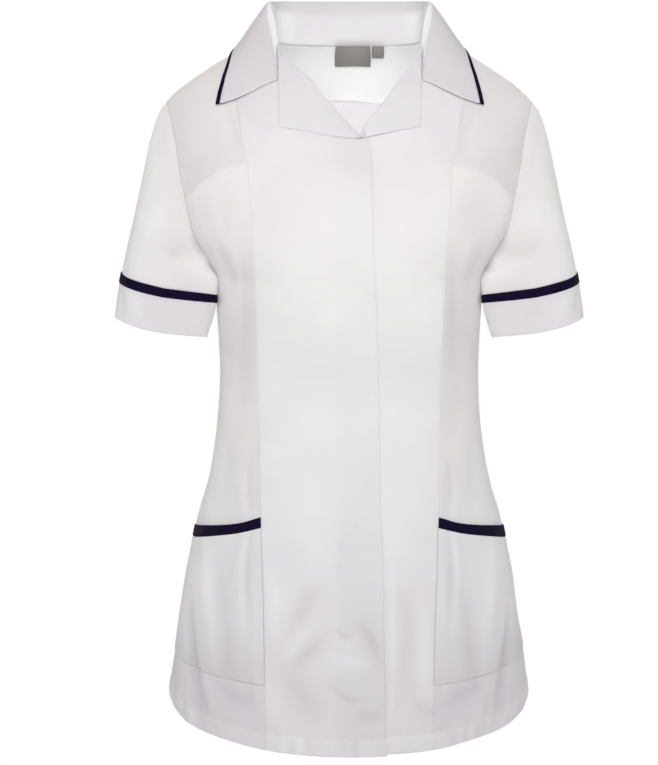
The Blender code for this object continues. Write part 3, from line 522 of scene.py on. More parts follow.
def body_point(angle, height, face):
    """Point of the body's outer surface; the angle is 0 at the centre, 90 at the side."""
    turn = np.radians(angle)
    power = 2 / along(BODY, "roundness", height)
    out = along(BODY, "half_width", height) * signed_power(np.sin(turn), power)
    level = np.clip(np.cos(turn), 0, 1) ** power
    depth = along(BODY, "front_depth" if face < 0 else "back_depth", height)
    return points(out, face * depth * level * shoulder_fall(out, height, face), height)


def angle_at(out, height):
    """Angle of the body's section where it is this far out from the centre."""
    share = np.clip(out / along(BODY, "half_width", height), -1, 1)
    return np.degrees(np.arcsin(signed_power(share, along(BODY, "roundness", height) / 2)))


def surface_at(out, height, face):
    return body_point(angle_at(out, height), height, face)


def height_at(out, back):
    """Height of the body's upper surface at a point of the plan, by halving."""
    high = along(SHOULDER, "height", np.abs(out))
    low = high - 0.08
    for _ in range(30):
        middle = (low + high) / 2
        front, rear = (np.abs(surface_at(out, middle, face)[..., 1]) for face in (-1, 1))
        deeper = np.where(back > 0, rear, front) > np.abs(back)
        low, high = np.where(deeper, middle, low), np.where(deeper, high, middle)
    return (low + high) / 2


def body_normal(out, height, face):
    """Outward normal of the body, taken just below the shoulder line at the highest."""
    step = 0.0005
    height = np.minimum(height, along(SHOULDER, "height", np.abs(out)) - 4 * step)
    across = surface_at(out + step, height, face) - surface_at(out - step, height, face)
    upward = surface_at(out, height + step, face) - surface_at(out, height - step, face)
    return unit(np.cross(across, upward) * -face)


def over_body(out, back, distance):
    """Points at a distance outside the body, above places in the plan of the shoulders."""
    height = height_at(out, back)
    front, rear = (body_normal(out, height, face) for face in (-1, 1))
    return points(out, back, height) + np.where((back > 0)[:, None], rear, front) * distance


def before_body(out, height, distance):
    """Points at a distance in front of the body."""
    return surface_at(out, height, -1) + body_normal(out, height, -1) * distance


# Grids of points: rows go up and columns go right, seen from outside
def coons(bottom, top, left, right):
    """Grid filled in between four lines of points."""
    u = np.linspace(0, 1, len(bottom))[None, :, None]
    v = np.linspace(0, 1, len(left))[:, None, None]
    across = bottom * (1 - v) + top * v
    upward = left[:, None] * (1 - u) + right[:, None] * u
    low, high = (line[0] * (1 - u) + line[-1] * u for line in (bottom, top))
    return across + upward - low * (1 - v) - high * v


def mirrored(grid):
    """The same grid on the wearer's other side."""
    return grid[:, ::-1] * MIRROR


def one_side(grid, sign):
    return grid if sign > 0 else mirrored(grid)


def normals(grid):
    return unit(np.cross(np.gradient(grid, axis=1), np.gradient(grid, axis=0)))


def moved_out(grid, distance):
    return grid + normals(grid) * np.asarray(distance)[..., None]


def sampled(grid, rows, columns):
    """Points of a grid at fractional row and column positions."""
    row = np.clip(np.floor(rows).astype(int), 0, grid.shape[0] - 2)
    column = np.clip(np.floor(columns).astype(int), 0, grid.shape[1] - 2)
    up, over = (rows - row)[..., None], (columns - column)[..., None]
    low = grid[row, column] * (1 - over) + grid[row, column + 1] * over
    high = grid[row + 1, column] * (1 - over) + grid[row + 1, column + 1] * over
    return low * (1 - up) + high * up


def reach(grid, side):
    """Distance of each point of a grid from one of its sides, along the grid."""
    axis = 0 if side in ("bottom", "top") else 1
    far = travelled(grid, axis)
    return far if side in ("bottom", "left") else far.take([-1], axis) - far


def spaced(line, lengths, values=None):
    """Points of a line at these lengths along it, or the values given for its points."""
    reached = travelled(line)
    values = line if values is None else values
    return points(*(np.interp(lengths, reached, column) for column in values.T))


def line_at(grid, side, distance):
    """Points and normals of a grid on the line this far from its bottom or its top."""
    up = 1 if side == "bottom" else -1
    index = np.arange(len(grid))[::up]
    rows = np.array([np.interp(distance, far[::up], index) for far in reach(grid, side).T])
    columns = np.arange(grid.shape[1])
    return sampled(grid, rows, columns), sampled(normals(grid), rows, columns)


def crowded(steps, start, end):
    """Positions along a grid's side, with extra ones beside the ends that roll down."""
    places = np.arange(steps + 1.0)
    if start:
        places = np.append(places, EDGE_SAMPLES)
    if end:
        places = np.append(places, steps - np.array(EDGE_SAMPLES))
    return np.unique(places)


def edged(grid, seams="", folded=""):
    """A grid with finer lines at the named sides, rolled down there as cloth is."""
    sides = (seams + " " + folded).split()
    rows = crowded(grid.shape[0] - 1, "bottom" in sides, "top" in sides)
    columns = crowded(grid.shape[1] - 1, "left" in sides, "right" in sides)
    grid = sampled(grid, rows[:, None], columns)
    sunk = 0
    for side in sides:
        width, depth = SEAM_ROLL if side in seams.split() else EDGE_ROLL
        inside = np.clip(1 - reach(grid, side) / width, 0, 1)
        sunk = sunk + depth * (1 - np.sqrt(1 - inside ** 2 * 0.9999))
    return moved_out(grid, -sunk)


# Panels of the body, as angles and heights on its surface
def polar(out, height):
    """Angles and heights, from distances out from the centre and heights."""
    return points(angle_at(out, height), height)


def eased(start, end, steps):
    """Values from start to end whose steps shrink towards the end."""
    return end + (start - end) * (1 - np.linspace(0, 1, steps + 1)) ** EASE


def run(rows, names, start, end, steps):
    """Points along a table between two keys, as its named columns."""
    keys = np.linspace(start, end, steps + 1)
    return points(*(along(rows, name, keys) for name in names.split()))


def roll_points(rows, start, end, steps):
    return polar(*run(rows, "out height", start, end, steps).T)


def neck_points(start, end, steps):
    out, back = run(NECK, "out back", start, end, steps).T
    return polar(out, height_at(out, back))


def shoulder_points(start, end, steps):
    out = np.linspace(start, end, steps + 1)
    return polar(out, along(SHOULDER, "height", out))


def seam_line(rows, heights, name="out"):
    return polar(along(rows, name, heights), heights)


def armhole_line(name):
    """The armhole's front or back, from the underarm to the shoulder tip."""
    heights = eased(UNDERARM, ARMHOLE["height"][-1], SIDE_ROWS)
    line = seam_line(ARMHOLE, heights, name)
    line[0] = (90, UNDERARM)
    return line


closure_edge = partial(seam_line, CLOSURE)
princess_edge = partial(seam_line, PRINCESS)
hidden_edge = partial(polar, UNDER_FRONT_EDGE)
centre_edge = partial(polar, 0)
side_edge = partial(points, 90.0)


def lower_patch(left_edge, right_edge, columns, hem_lift=0):
    """Grid of angles and heights from the hem to the underarm, between two edges.

    The hem may be lifted at the left edge, fading out towards the right one.
    """
    edges = (left_edge, right_edge)
    angles = np.linspace(*(edge(BODY["height"][:1])[0, 0] for edge in edges), columns + 1)
    heights = along(HEM, "height", angles) + hem_lift * np.linspace(1, 0, columns + 1)
    left, right = (
        edge(np.linspace(low, UNDERARM, LOWER_ROWS + 1))
        for edge, low in zip(edges, (heights[0], heights[-1]))
    )
    top = np.linspace(left[-1], right[-1], columns + 1)
    return coons(points(angles, heights), top, left, right)


def on_body(face, *patches):
    """One grid on the body's surface from patches stacked upwards."""
    rows = np.concatenate([patches[0]] + [patch[1:] for patch in patches[1:]])
    return body_point(rows[..., 0], rows[..., 1], face)


def front_grid(edge, edge_top, roll, hem_lift=0):
    """A front from its leading edge to the princess seam, on the wearer's left."""
    columns = BREAK_STEPS + ROLL_STEPS + NECK_STEPS + INNER_SHOULDER_STEPS
    shoulder = along(SHOULDER, "height", SHOULDER_PRINCESS)
    side_rows = SIDE_ROWS - CHEST_ROWS
    chest_heights = np.linspace(UNDERARM, CHEST_SPLIT, CHEST_ROWS + 1)
    lower = lower_patch(edge, princess_edge, columns, hem_lift)
    left, right = edge(chest_heights), princess_edge(chest_heights)
    chest = coons(lower[-1], np.linspace(left[-1], right[-1], columns + 1), left, right)
    left = edge(np.linspace(CHEST_SPLIT, edge_top, side_rows + 1))
    right = princess_edge(eased(CHEST_SPLIT, shoulder, side_rows))
    roll_line = roll_points(roll, 1, 0, ROLL_STEPS)
    neck_out = along(NECK, "out", SHOULDER_AT)
    top = np.concatenate([
        np.linspace(left[-1], roll_line[0], BREAK_STEPS + 1)[:-1],
        roll_line,
        neck_points(1, SHOULDER_AT, NECK_STEPS)[1:],
        shoulder_points(neck_out, SHOULDER_PRINCESS, INNER_SHOULDER_STEPS)[1:],
    ])
    return on_body(-1, lower, chest, coons(chest[-1], top, left, right))


def side_front_grid():
    """A side front from the princess seam to the side seam, on the wearer's left."""
    lower = lower_patch(princess_edge, side_edge, SIDE_STEPS)
    shoulder = along(SHOULDER, "height", SHOULDER_PRINCESS)
    left = princess_edge(np.concatenate([
        np.linspace(UNDERARM, CHEST_SPLIT, CHEST_ROWS + 1)[:-1],
        eased(CHEST_SPLIT, shoulder, SIDE_ROWS - CHEST_ROWS),
    ]))
    top = shoulder_points(SHOULDER_PRINCESS, ARMHOLE["front_out"][-1], SIDE_STEPS)
    return on_body(-1, lower, coons(lower[-1], top, left, armhole_line("front_out")))


def back_grid():
    """The back from side seam to side seam."""
    neck_out = along(NECK, "out", SHOULDER_AT)
    top = np.concatenate([
        neck_points(0, SHOULDER_AT, BACK_NECK_STEPS),
        shoulder_points(neck_out, SHOULDER_PRINCESS, BACK_INNER_STEPS)[1:],
        shoulder_points(SHOULDER_PRINCESS, ARMHOLE["back_out"][-1], BACK_SIDE_STEPS)[1:],
    ])
    lower = lower_patch(centre_edge, side_edge, len(top) - 1)
    left = centre_edge(eased(UNDERARM, top[0, 1], SIDE_ROWS))
    half = on_body(1, lower, coons(lower[-1], top, left, armhole_line("back_out")))
    return np.concatenate([half[:, ::-1], half[:, 1:] * MIRROR], axis=1)


def tucked_under(grid):
    """The left front, pressed back where the right front lies over it."""
    edge = -along(CLOSURE, "out", grid[..., 2])
    shown = smooth_step(grid[..., 0] - edge, TUCK_FROM, TUCK_TO)
    return moved_out(grid, -(CLOTH + LAYER) * (1 - shown))


def revere_grid(roll, roll_end, lower_edge):
    """A turned-back revere on the left: its lower edge at the bottom, its roll on top."""
    top = roll_points(roll, roll_end, REVERE_TOP, REVERE_STEPS)
    bottom = roll_points(lower_edge, 0, 1, REVERE_STEPS)
    left = np.linspace(bottom[0], top[0], REVERE_ROWS + 1)
    right = seam_line(REVERE_SIDE, np.linspace(bottom[-1, 1], top[-1, 1], REVERE_ROWS + 1))
    right[-1] = top[-1]
    surface = on_body(-1, coons(bottom, top, left, right))
    upwards = np.linspace(0, 1, REVERE_ROWS + 1)[:, None]
    lifted = moved_out(surface, CLOTH + LAYER + REVERE_LIFT * upwards ** 2)
    fold, normal = surface[-1], normals(surface)[-1]
    beyond = unit(np.cross(normal, np.gradient(fold, axis=0)))
    rows = [fold + beyond * past + normal * above for past, above in REVERE_FOLD]
    return np.concatenate([lifted, rows])


def pocket_grid(panel, low, high, rows):
    """Part of the pocket between two of its lines, made from the side front's points."""
    columns = np.arange(panel.shape[1])
    across = columns / columns[-1]
    heights = np.linspace(along(POCKET, low, across), along(POCKET, high, across), rows + 1)
    index = np.arange(len(panel))
    places = points(*(np.interp(heights[:, k], panel[:, k, 2], index) for k in columns))
    grid = sampled(panel, places, columns)
    open_part = smooth_step(grid[..., 2], POCKET["bottom"][0], POCKET["mouth"][0])
    bulge = MOUTH_STAND * np.sin(np.pi * across) * open_part
    return moved_out(grid, CLOTH + LAYER + bulge)


def back_rows(panel, heights):
    """Fractional rows of the back where its centre line is at these heights."""
    centre = panel[:, panel.shape[1] // 2, 2]
    return np.interp(heights, centre, np.arange(len(centre)))


def facing_grid(panel):
    """The facing inside the back neck, a little lower on the wearer's left."""
    columns = np.arange(-BACK_NECK_STEPS, BACK_NECK_STEPS + 1)
    low = back_rows(panel, FACING_DEPTH + FACING_DROP * columns / BACK_NECK_STEPS)
    rows = np.linspace(low, len(panel) - 1.2, FACING_ROWS + 1)
    return moved_out(sampled(panel, rows, columns + panel.shape[1] // 2), -CLOTH - 2 * LAYER)


def label_grid(panel, centre, width, drop):
    """A small label that hangs from the neck seam, made from the back's points."""
    middle = panel.shape[1] // 2
    spacing = panel[-1, middle - 1, 0]
    columns = middle - (centre + width * np.array([0.5, 0, -0.5])) / spacing
    rows = back_rows(panel, panel[-1, middle, 2] - np.array([drop, drop / 2, 0.0004]))
    grid = sampled(panel, rows[:, None], columns)
    return moved_out(grid, -2 * CLOTH - 3 * LAYER) + unit(grid[-1] - grid[0]) * LABEL_RISE


# Sleeves and collar
def sleeve_ring(share, turns):
    """A ring round the sleeve: turns go from its outer fold by the front to its inner side."""
    outer, inner = (
        points(along(SLEEVE, end + "_x", share), 0, along(SLEEVE, end + "_z", share))
        for end in ("outer", "inner")
    )
    depth = points(0, -along(SLEEVE, "half_depth", share), 0)
    cosine, sine = np.cos(turns)[:, None], np.sin(turns)[:, None]
    squareness = np.where(cosine > 0, OUTER_SQUARENESS, INNER_SQUARENESS)
    size = (abs(cosine) ** squareness + abs(sine) ** squareness) ** (-1 / squareness)
    wrap = INNER_WRAP * np.maximum(-cosine, 0) * (size * sine) ** 4
    wrap = wrap * np.where(sine > 0, 1, BACK_WRAP) * [1, 0, 0]
    return (outer + inner) / 2 + size * ((outer - inner) / 2 * cosine + depth * sine) - wrap


def sleeve_part(shares):
    """Rings of the left sleeve at shares of its length, cut open along the underarm.

    The armhole's shape fades out down the sleeve, and the cuff sags between its folds.
    """
    front, back = (
        body_point(*armhole_line(name).T, face)
        for name, face in (("front_out", -1), ("back_out", 1))
    )
    loop = np.concatenate([front[::-1], back[1:]])
    reached = travelled(front[::-1])
    turns = np.pi * (reached / reached[-1]) ** SEAM_LAG
    turns = np.concatenate([turns, 2 * np.pi - turns[-2::-1]])
    fades = 1 - smooth_step(shares[:, None, None], 0, np.array(CAP_END))
    from_ring = loop - sleeve_ring(0, turns)
    grid = np.array([sleeve_ring(share, turns) for share in shares]) + from_ring * fades
    across = np.clip((grid[..., 0] - SAG_FROM) / (SAG_TO - SAG_FROM), 0, 1)
    drop = CUFF_SAG * np.sin(np.pi * across) ** 0.6 * smooth_step(shares, 0.70, 1)[:, None]
    grid = (grid - drop[..., None] * [0, 0, 1])[:, :-1]
    grid = np.roll(grid, -(grid.shape[1] // 2), axis=1)
    return np.concatenate([grid, grid[:, :1]], axis=1)


def bezier(a, b, c, d, shares):
    """A cubic curve for each row of the four lines of points."""
    a, b, c, d = (point[:, None] for point in (a, b, c, d))
    t = shares[:, None]
    s = 1 - t
    return a * s ** 3 + 3 * b * s * s * t + 3 * c * s * t * t + d * t ** 3


def collar_lines():
    """Lines of the left half of the collar: the stand, and the leaf from fold to edge."""
    span = (0, COLLAR_END, COLLAR_STEPS)
    neck_out, neck_back = run(NECK, "out back", *span).T
    seam = points(neck_out, neck_back, height_at(neck_out, neck_back) + NECK_RISE)
    fold = run(COLLAR, "fold_out fold_back fold_height", *span)
    edge = over_body(*run(COLLAR, "edge_out edge_back", *span).T, EDGE_LIFT)
    over = unit((edge - seam) * [1, 1, 0.35])
    stand_lean = (fold - seam) * STAND_LEAN
    stand = bezier(seam, seam + stand_lean, fold - over * FOLD_WIDTH, fold,
                   np.linspace(0, 1, STAND_STEPS + 1))
    fine = np.linspace(0, 1, 101)
    leaf = bezier(fold, fold + over * FOLD_WIDTH * 1.4, fold * 0.45 + edge * 0.55, edge, fine)
    end = before_body(*run(LEAF_END, "out height", 0, 1, 100).T, EDGE_LIFT)
    share = np.linspace(*span[:2], COLLAR_STEPS + 1)
    turned = smooth_step(share, LEAF_END_FROM, COLLAR_END)[:, None, None] ** 1.5
    leaf += (end - leaf[-1]) * turned * smooth_step(fine, 0, 0.25)[:, None]
    return stand, leaf


def spread(grid):
    """The collar with the leaf's outer edge spread out over the shoulders."""
    out = np.abs(grid[..., 0])
    share = smooth_step(out, SPREAD_FROM, SPREAD_TO) * (grid[..., 1] < 0)
    shift = along(LEAF_SPREAD, "out", grid[..., 2]) * share * np.sign(grid[..., 0])
    return grid + shift[..., None] * [1, 0, 0]


def collar_grids():
    """The collar, and the strip of its navy edge, from the left gorge to the right one."""
    stand, leaf = collar_lines()
    widths = travelled(leaf, 1)[:, -1]
    shares = np.linspace(0, 1, LEAF_STEPS + 1)
    strip = np.linspace(-TRIM_WIDTH, 0, EDGING_STEPS + 1)
    body = [spaced(line, shares * (width - TRIM_WIDTH)) for line, width in zip(leaf, widths)]
    edging = np.array([spaced(line, width + strip) for line, width in zip(leaf, widths)])
    collar = np.concatenate([stand, np.array(body)[:, 1:]], axis=1)
    return [spread(np.concatenate([half[::-1], half[1:] * MIRROR]))
            for half in (collar, edging)]


# Folds, hems and unevenness
GIRTHS = {
    face: travelled(body_point(GIRTH_ANGLES, GIRTH_HEIGHTS[:, None], face)[..., :2], 1)
    for face in (-1, 1)
}


def girth(grid, face):
    """Signed distance round the body from the centre, wearer's left positive."""
    height = np.clip(grid[..., 2], GIRTH_HEIGHTS[0], GIRTH_HEIGHTS[-1])
    angle = angle_at(np.abs(grid[..., 0]), height)
    rows = (height - GIRTH_HEIGHTS[0]) / (GIRTH_HEIGHTS[1] - GIRTH_HEIGHTS[0])
    return sampled(GIRTHS[face][..., None], rows, angle)[..., 0] * np.sign(grid[..., 0])


def one_fold(across, height, folds, row):
    """How far one fold lifts the cloth at these places."""
    part = np.linspace(0, 1, FOLD_SAMPLES)
    curve = points(*(
        folds[name + "_a"][row] * (1 - part) ** 2
        + folds[name + "_b"][row] * 2 * part * (1 - part)
        + folds[name + "_c"][row] * part ** 2
        for name in ("across", "height")
    ))
    width, depth = folds["width"][row], folds["depth"][row]
    place = points(across, height)
    margin = FOLD_REACH * width
    low, high = curve.min(axis=0) - margin, curve.max(axis=0) + margin
    near = np.all((place > low) & (place < high), axis=-1)
    spot = place[near]
    nearest = np.full(len(spot), 1e9)
    reached = np.zeros(len(spot))
    for k in range(FOLD_SAMPLES - 1):
        start, leg = curve[k], curve[k + 1] - curve[k]
        t = np.clip(((spot - start) @ leg) / (leg @ leg), 0, 1)
        gap = np.linalg.norm(spot - start - t[:, None] * leg, axis=-1)
        closer = gap < nearest
        nearest[closer] = gap[closer]
        reached[closer] = (k + t[closer]) / (FOLD_SAMPLES - 1)
    fade = np.sin(np.pi * (reached * 0.92 + 0.04)) ** 0.7
    lifted = np.zeros_like(across)
    lifted[near] = depth * np.exp(-(nearest / width) ** 2) * fade
    return lifted


def folds_lift(across, height, folds, signs=(-1, 1)):
    """How far a table's folds lift the cloth, on these sides."""
    return sum(
        one_fold(across * sign, height, folds, row)
        for row, side in enumerate(folds["side"]) for sign in signs if side in (0, sign)
    )


def panel_lift(grid, face=-1):
    """How far the folds lift a panel of the body."""
    folds = FOLDS_FRONT if face < 0 else FOLDS_BACK
    return folds_lift(girth(grid, face), grid[..., 2], folds)


def unevenness(across, height):
    """Slow waves in the cloth, stronger towards the hem."""
    waves = sum(
        depth * np.sin(2 * np.pi * (round_rate * across + up_rate * height) + phase)
        for round_rate, up_rate, phase, depth in WAVES
    )
    return waves * (0.35 + 0.65 * smooth_step(-height, 0.38, 0.62))


def draped(grid, face):
    """A body panel with its folds and its slow unevenness."""
    return moved_out(grid, unevenness(girth(grid, face), grid[..., 2]) + panel_lift(grid, face))


def hemmed(grid, face, seed):
    """A panel whose hem is turned up inside: a step, a stitched groove and small puckers."""
    up = reach(grid, "bottom")
    across = girth(grid, face)
    phases = np.random.default_rng(seed).uniform(0, 2 * np.pi, 3)
    pucker = sum(
        np.sin(2 * np.pi * across * rate + phase)
        for rate, phase in zip(PUCKER_RATES, phases)
    ) / 3
    step = HEM_STEP * (1 - smooth_step(up, HEM_DEPTH - 0.001, HEM_DEPTH + 0.0015))
    groove = 0.0005 * np.exp(-((up - HEM_DEPTH) / 0.0012) ** 2)
    waves = pucker * 0.0008 * np.exp(-((up - HEM_DEPTH * 0.8) / 0.010) ** 2)
    return moved_out(grid, step - groove + waves)


def round_sleeve(grid):
    """Distance of each point round from the outer fold, and down from the grid's start."""
    across = travelled(grid, 1)
    return across - across[:, grid.shape[1] // 2, None], -reach(grid, "bottom")


def dented(grid, folds, sign):
    """A left sleeve piece with its folds and its slow unevenness, put on its side."""
    across, height = round_sleeve(grid)
    lift = folds_lift(across * sign, height, folds, [sign])
    return one_side(moved_out(grid, lift + 0.7 * unevenness(across, height - 0.2)), sign)


# Tones and warmth
def painted_side_light(grid, facing, aside):
    """Painted light: from the tone where the cloth faces forwards to the paler tone where it
    turns aside.
    """
    return aside + (facing - aside) * np.clip(-normals(grid)[..., 1], 0, 1) ** 1.5


def hem_tone(grid, base):
    """Two layers of cloth in the turned-up hem, pressed unevenly."""
    band = 1 - smooth_step(reach(grid, "bottom"), HEM_DEPTH - 0.001, HEM_DEPTH + 0.001)
    out = grid[..., 0] * 2 * np.pi
    pressed = np.sin(31 * out + 2.6 * np.sin(7 * out + 1) + 2.1 * np.sin(17 * out))
    swing = 0.5 + 0.5 * np.sin(11 * out + 1.3 * np.sin(5 * out))
    return base + band * (0.10 + 0.12 * pressed * swing)


def chest_tone(grid):
    """Paler where the side front is smooth over the bust, deeper above it."""
    edge = along(CHEST_LINE, "height", np.abs(grid[..., 0]))
    return 1 - smooth_step(grid[..., 2], edge - 0.0022, edge + 0.0014)


def front_tone(grid):
    # painted shade down the front, and painted light and shade on the folds
    tone = along(FRONT_PAINTED_SHADE, "tone", grid[..., 2]) + FOLD_PAINTED_SHADING * panel_lift(grid)
    return hem_tone(grid, tone)


def side_tone(grid):
    """Deep above the chest line; painted light over the bust and sides, painted shade at the
    hem.
    """
    height = grid[..., 2]
    above_hem = 0.4 + 0.6 * smooth_step(height, POCKET["bottom"][0], POCKET["mouth"][0])
    tone = along(SIDE_PAINTED_SHADE, "tone", height) + FOLD_PAINTED_SHADING * panel_lift(grid)
    # painted light where the side front turns aside, less of it towards the hem
    tone = hem_tone(grid, tone + painted_side_light(grid, 0.08, 0.75) * above_hem)
    # the yoke, with painted light where it turns aside
    yoke = painted_side_light(grid, YOKE_TONE - 0.03, YOKE_TONE + 0.35)
    # painted light beside the armhole, where the side front lies in shade
    inward = along(ARMHOLE, "front_out", height) - np.abs(grid[..., 0])
    beside_armhole = 1 - smooth_step(inward, 0, 0.028)
    beside_armhole *= smooth_step(height, -0.330, -0.250)
    beside_armhole *= 1 - smooth_step(height, -0.150, -0.100)
    return yoke + (tone - yoke) * chest_tone(grid) + ARMHOLE_PAINTED_LIGHT * beside_armhole


def back_tone(grid):
    """Deeper round the yoke, as in front."""
    return hem_tone(grid, 0.92 - 0.46 * np.exp(-((grid[..., 2] + 0.095) / 0.050) ** 2))


def sleeve_tone(grid, folds, sign, facing, aside):
    """Painted light where a sleeve piece turns aside, and painted light and shade on its folds;
    its columns run the other way on the right.
    """
    across, height = round_sleeve(grid)
    ridges = folds_lift(across, height, folds, [sign])
    return painted_side_light(grid, facing, aside) + FOLD_PAINTED_SHADING * ridges


def cap_tone(grid):
    """Painted shade beside the armhole, and painted light low down beside it, where the
    underarm lies in shade.
    """
    beside_armhole = 1 - smooth_step(reach(grid, "bottom"), 0.004, 0.036)
    return beside_armhole * (0.34 * smooth_step(-grid[..., 2], 0.160, 0.200) - 0.15)


def pocket_tone(grid):
    """Painted shade towards the pocket's bottom, painted light where it turns aside, and
    painted light and shade on its folds.
    """
    low = 1 - smooth_step(grid[..., 2], -0.675, -0.590)
    return painted_side_light(grid, 0.53, 1.15) * (1 - 0.62 * low) + FOLD_PAINTED_SHADING * panel_lift(grid)


def collar_tone(grid):
    """Painted shade on the leaf; painted light on the inside of the stand, more towards its
    ends.
    """
    inside = 1 - smooth_step(reach(grid, "left"), 0.030, 0.036)
    ends = smooth_step(np.abs(grid[..., 0]), 0.050, 0.070)
    return 0.34 + (0.28 + 0.35 * ends) * inside


def front_warmth(grid):
    return 0.35 * smooth_step(grid[..., 2], -0.45, -0.25)


def side_warmth(grid):
    """Warm above the chest line and at the waist."""
    waist = 0.6 * smooth_step(grid[..., 2], -0.52, -0.40)
    return 0.9 - (0.9 - waist) * chest_tone(grid)


# Materials
def node_at(tree, kind, sources=(), **values):
    """A shader node with these sources linked to its sockets, and values on others."""
    made = tree.nodes.new("ShaderNode" + kind)
    for name, value in values.items():
        made.inputs[name.replace("_", " ")].default_value = value
    for socket, source in sources:
        tree.links.new(source, made.inputs[socket])
    return made


def scaled_sum(tree, value, scale, other):
    made = tree.nodes.new("ShaderNodeMath")
    made.operation = "MULTIPLY_ADD"
    made.inputs[1].default_value = scale
    tree.links.new(value, made.inputs[0])
    tree.links.new(other, made.inputs[2])
    return made.outputs[0]


def tinted(tree, amount, colour, tint):
    """The colour, multiplied by the tint where the amount is 1."""
    made = tree.nodes.new("ShaderNodeMix")
    made.data_type = "RGBA"
    made.blend_type = "MULTIPLY"
    made.inputs["B"].default_value = tint
    tree.links.new(amount, made.inputs["Factor"])
    tree.links.new(colour, made.inputs["A"])
    return made.outputs["Result"]


def drawn(tree, name):
    """A number that the mesh carries at each point."""
    made = tree.nodes.new("ShaderNodeAttribute")
    made.attribute_name = name
    return made.outputs["Fac"]


def cloth_material(name, deep, pale, roughness, gloss, twill, relief, through, sheen):
    """Woven cloth: diagonal ribs, yarns and slubs, two tones mixed by doubled cloth and painted
    light.
    """
    made = bpy.data.materials.new(name)
    made.use_nodes = True
    tree = made.node_tree
    link = tree.links.new
    shader = tree.nodes["Principled BSDF"]
    for socket, value in (("Roughness", roughness), ("Specular IOR Level", gloss),
                          ("Sheen Weight", sheen), ("Sheen Roughness", 0.5)):
        shader.inputs[socket].default_value = value
    place = tree.nodes.new("ShaderNodeUVMap")
    place.uv_map = "cloth"
    at_place = [("Vector", place.outputs["UV"])]
    ribs = node_at(tree, "TexWave", at_place, Scale=2 * np.pi / (10 * twill * 1.414),
                   Distortion=0.35, Detail=1.0, Detail_Scale=0.02)
    ribs.bands_direction = "DIAGONAL"
    yarns = node_at(tree, "TexWave", at_place, Scale=2 * np.pi / (20 * twill * 0.62))
    yarns.bands_direction = "X"
    slubs = node_at(tree, "TexNoise", at_place, Scale=1 / (twill * 9), Detail=3.0)
    patches = node_at(tree, "TexNoise", at_place, Scale=14.0, Detail=3.0)
    weave = scaled_sum(tree, yarns.outputs["Fac"], 0.5, ribs.outputs["Fac"])
    height = scaled_sum(tree, slubs.outputs["Fac"], 0.6, weave)
    bump = node_at(tree, "Bump", [("Height", height)], Strength=0.5, Distance=relief)
    link(bump.outputs["Normal"], shader.inputs["Normal"])

    tones = tree.nodes.new("ShaderNodeMix")
    tones.data_type = "RGBA"
    tones.inputs["A"].default_value = (*deep, 1)
    tones.inputs["B"].default_value = (*pale, 1)
    link(drawn(tree, "layers"), tones.inputs["Factor"])
    warm = tinted(tree, drawn(tree, "warmth"), tones.outputs["Result"], (1, 0.982, 0.961, 1))
    mottle = node_at(tree, "MapRange", [("Value", patches.outputs["Fac"])],
                     From_Min=0.35, From_Max=0.75)
    colour = tinted(tree, mottle.outputs["Result"], warm, (0.955, 0.945, 0.950, 1))
    link(colour, shader.inputs["Base Color"])
    if through:
        backlit = node_at(tree, "BsdfTranslucent", [("Color", colour)])
        both = node_at(tree, "MixShader", [(1, shader.outputs["BSDF"]),
                                           (2, backlit.outputs["BSDF"])], Fac=through)
        link(both.outputs["Shader"], tree.nodes["Material Output"].inputs["Surface"])
    return made


# Deep and pale colours, roughness, gloss, width and height of the twill's ribs, share of
# light that comes through, and sheen
WHITE = cloth_material("white_twill_cloth", (0.645, 0.614, 0.648), (0.884, 0.879, 0.877),
                       0.82, 0.25, 0.0009, 0.00010, 0.30, 0.10)
NAVY = cloth_material("navy_twill_cloth", (0.003, 0.001, 0.012), (0.008, 0.003, 0.024),
                      0.75, 0.05, 0.0009, 0.00012, 0.0, 0.02)
GREY = cloth_material("grey_satin_label", (0.175, 0.165, 0.158), (0.225, 0.215, 0.205),
                      0.55, 0.25, 0.0005, 0.00004, 0.0, 0.05)
WHITE_THREAD = cloth_material("white_thread", (0.76, 0.74, 0.75), (0.84, 0.83, 0.84),
                              0.60, 0.25, 0.0003, 0.00003, 0.0, 0.10)
NAVY_THREAD = cloth_material("navy_thread", (0.006, 0.003, 0.018), (0.014, 0.008, 0.034),
                             0.65, 0.10, 0.0003, 0.00003, 0.0, 0.02)


# Pieces
def placed(name, data):
    """A new object in the scene."""
    made = bpy.data.objects.new(name, data)
    bpy.context.scene.collection.objects.link(made)
    return made


def mesh_piece(name, vertices, faces, cloth, places, layers, warmth):
    """A piece with its weave's places, its tone with painted light and shade, and its warmth at
    each vertex.
    """
    mesh = bpy.data.meshes.new(name)
    mesh.from_pydata(vertices.tolist(), [], faces.tolist())
    mesh.materials.append(cloth)
    corners = np.empty(len(mesh.loops), dtype=np.int64)
    mesh.loops.foreach_get("vertex_index", corners)
    spots = mesh.uv_layers.new(name="cloth")
    spots.data.foreach_set("uv", places[corners].astype(np.float32).ravel())
    for attribute, values in (("layers", layers), ("warmth", warmth)):
        values = np.broadcast_to(values, len(vertices)).astype(np.float32)
        mesh.attributes.new(attribute, "FLOAT", "POINT").data.foreach_set("value", values)
    mesh.shade_smooth()
    piece = placed(name, mesh)
    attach(piece, "root")
    return piece


def quads(rows, columns):
    """Faces of a grid of vertices, seen from its outer side."""
    corner = (np.arange(rows - 1)[:, None] * columns + np.arange(columns - 1)).ravel()
    return points(corner, corner + 1, corner + columns + 1, corner + columns)


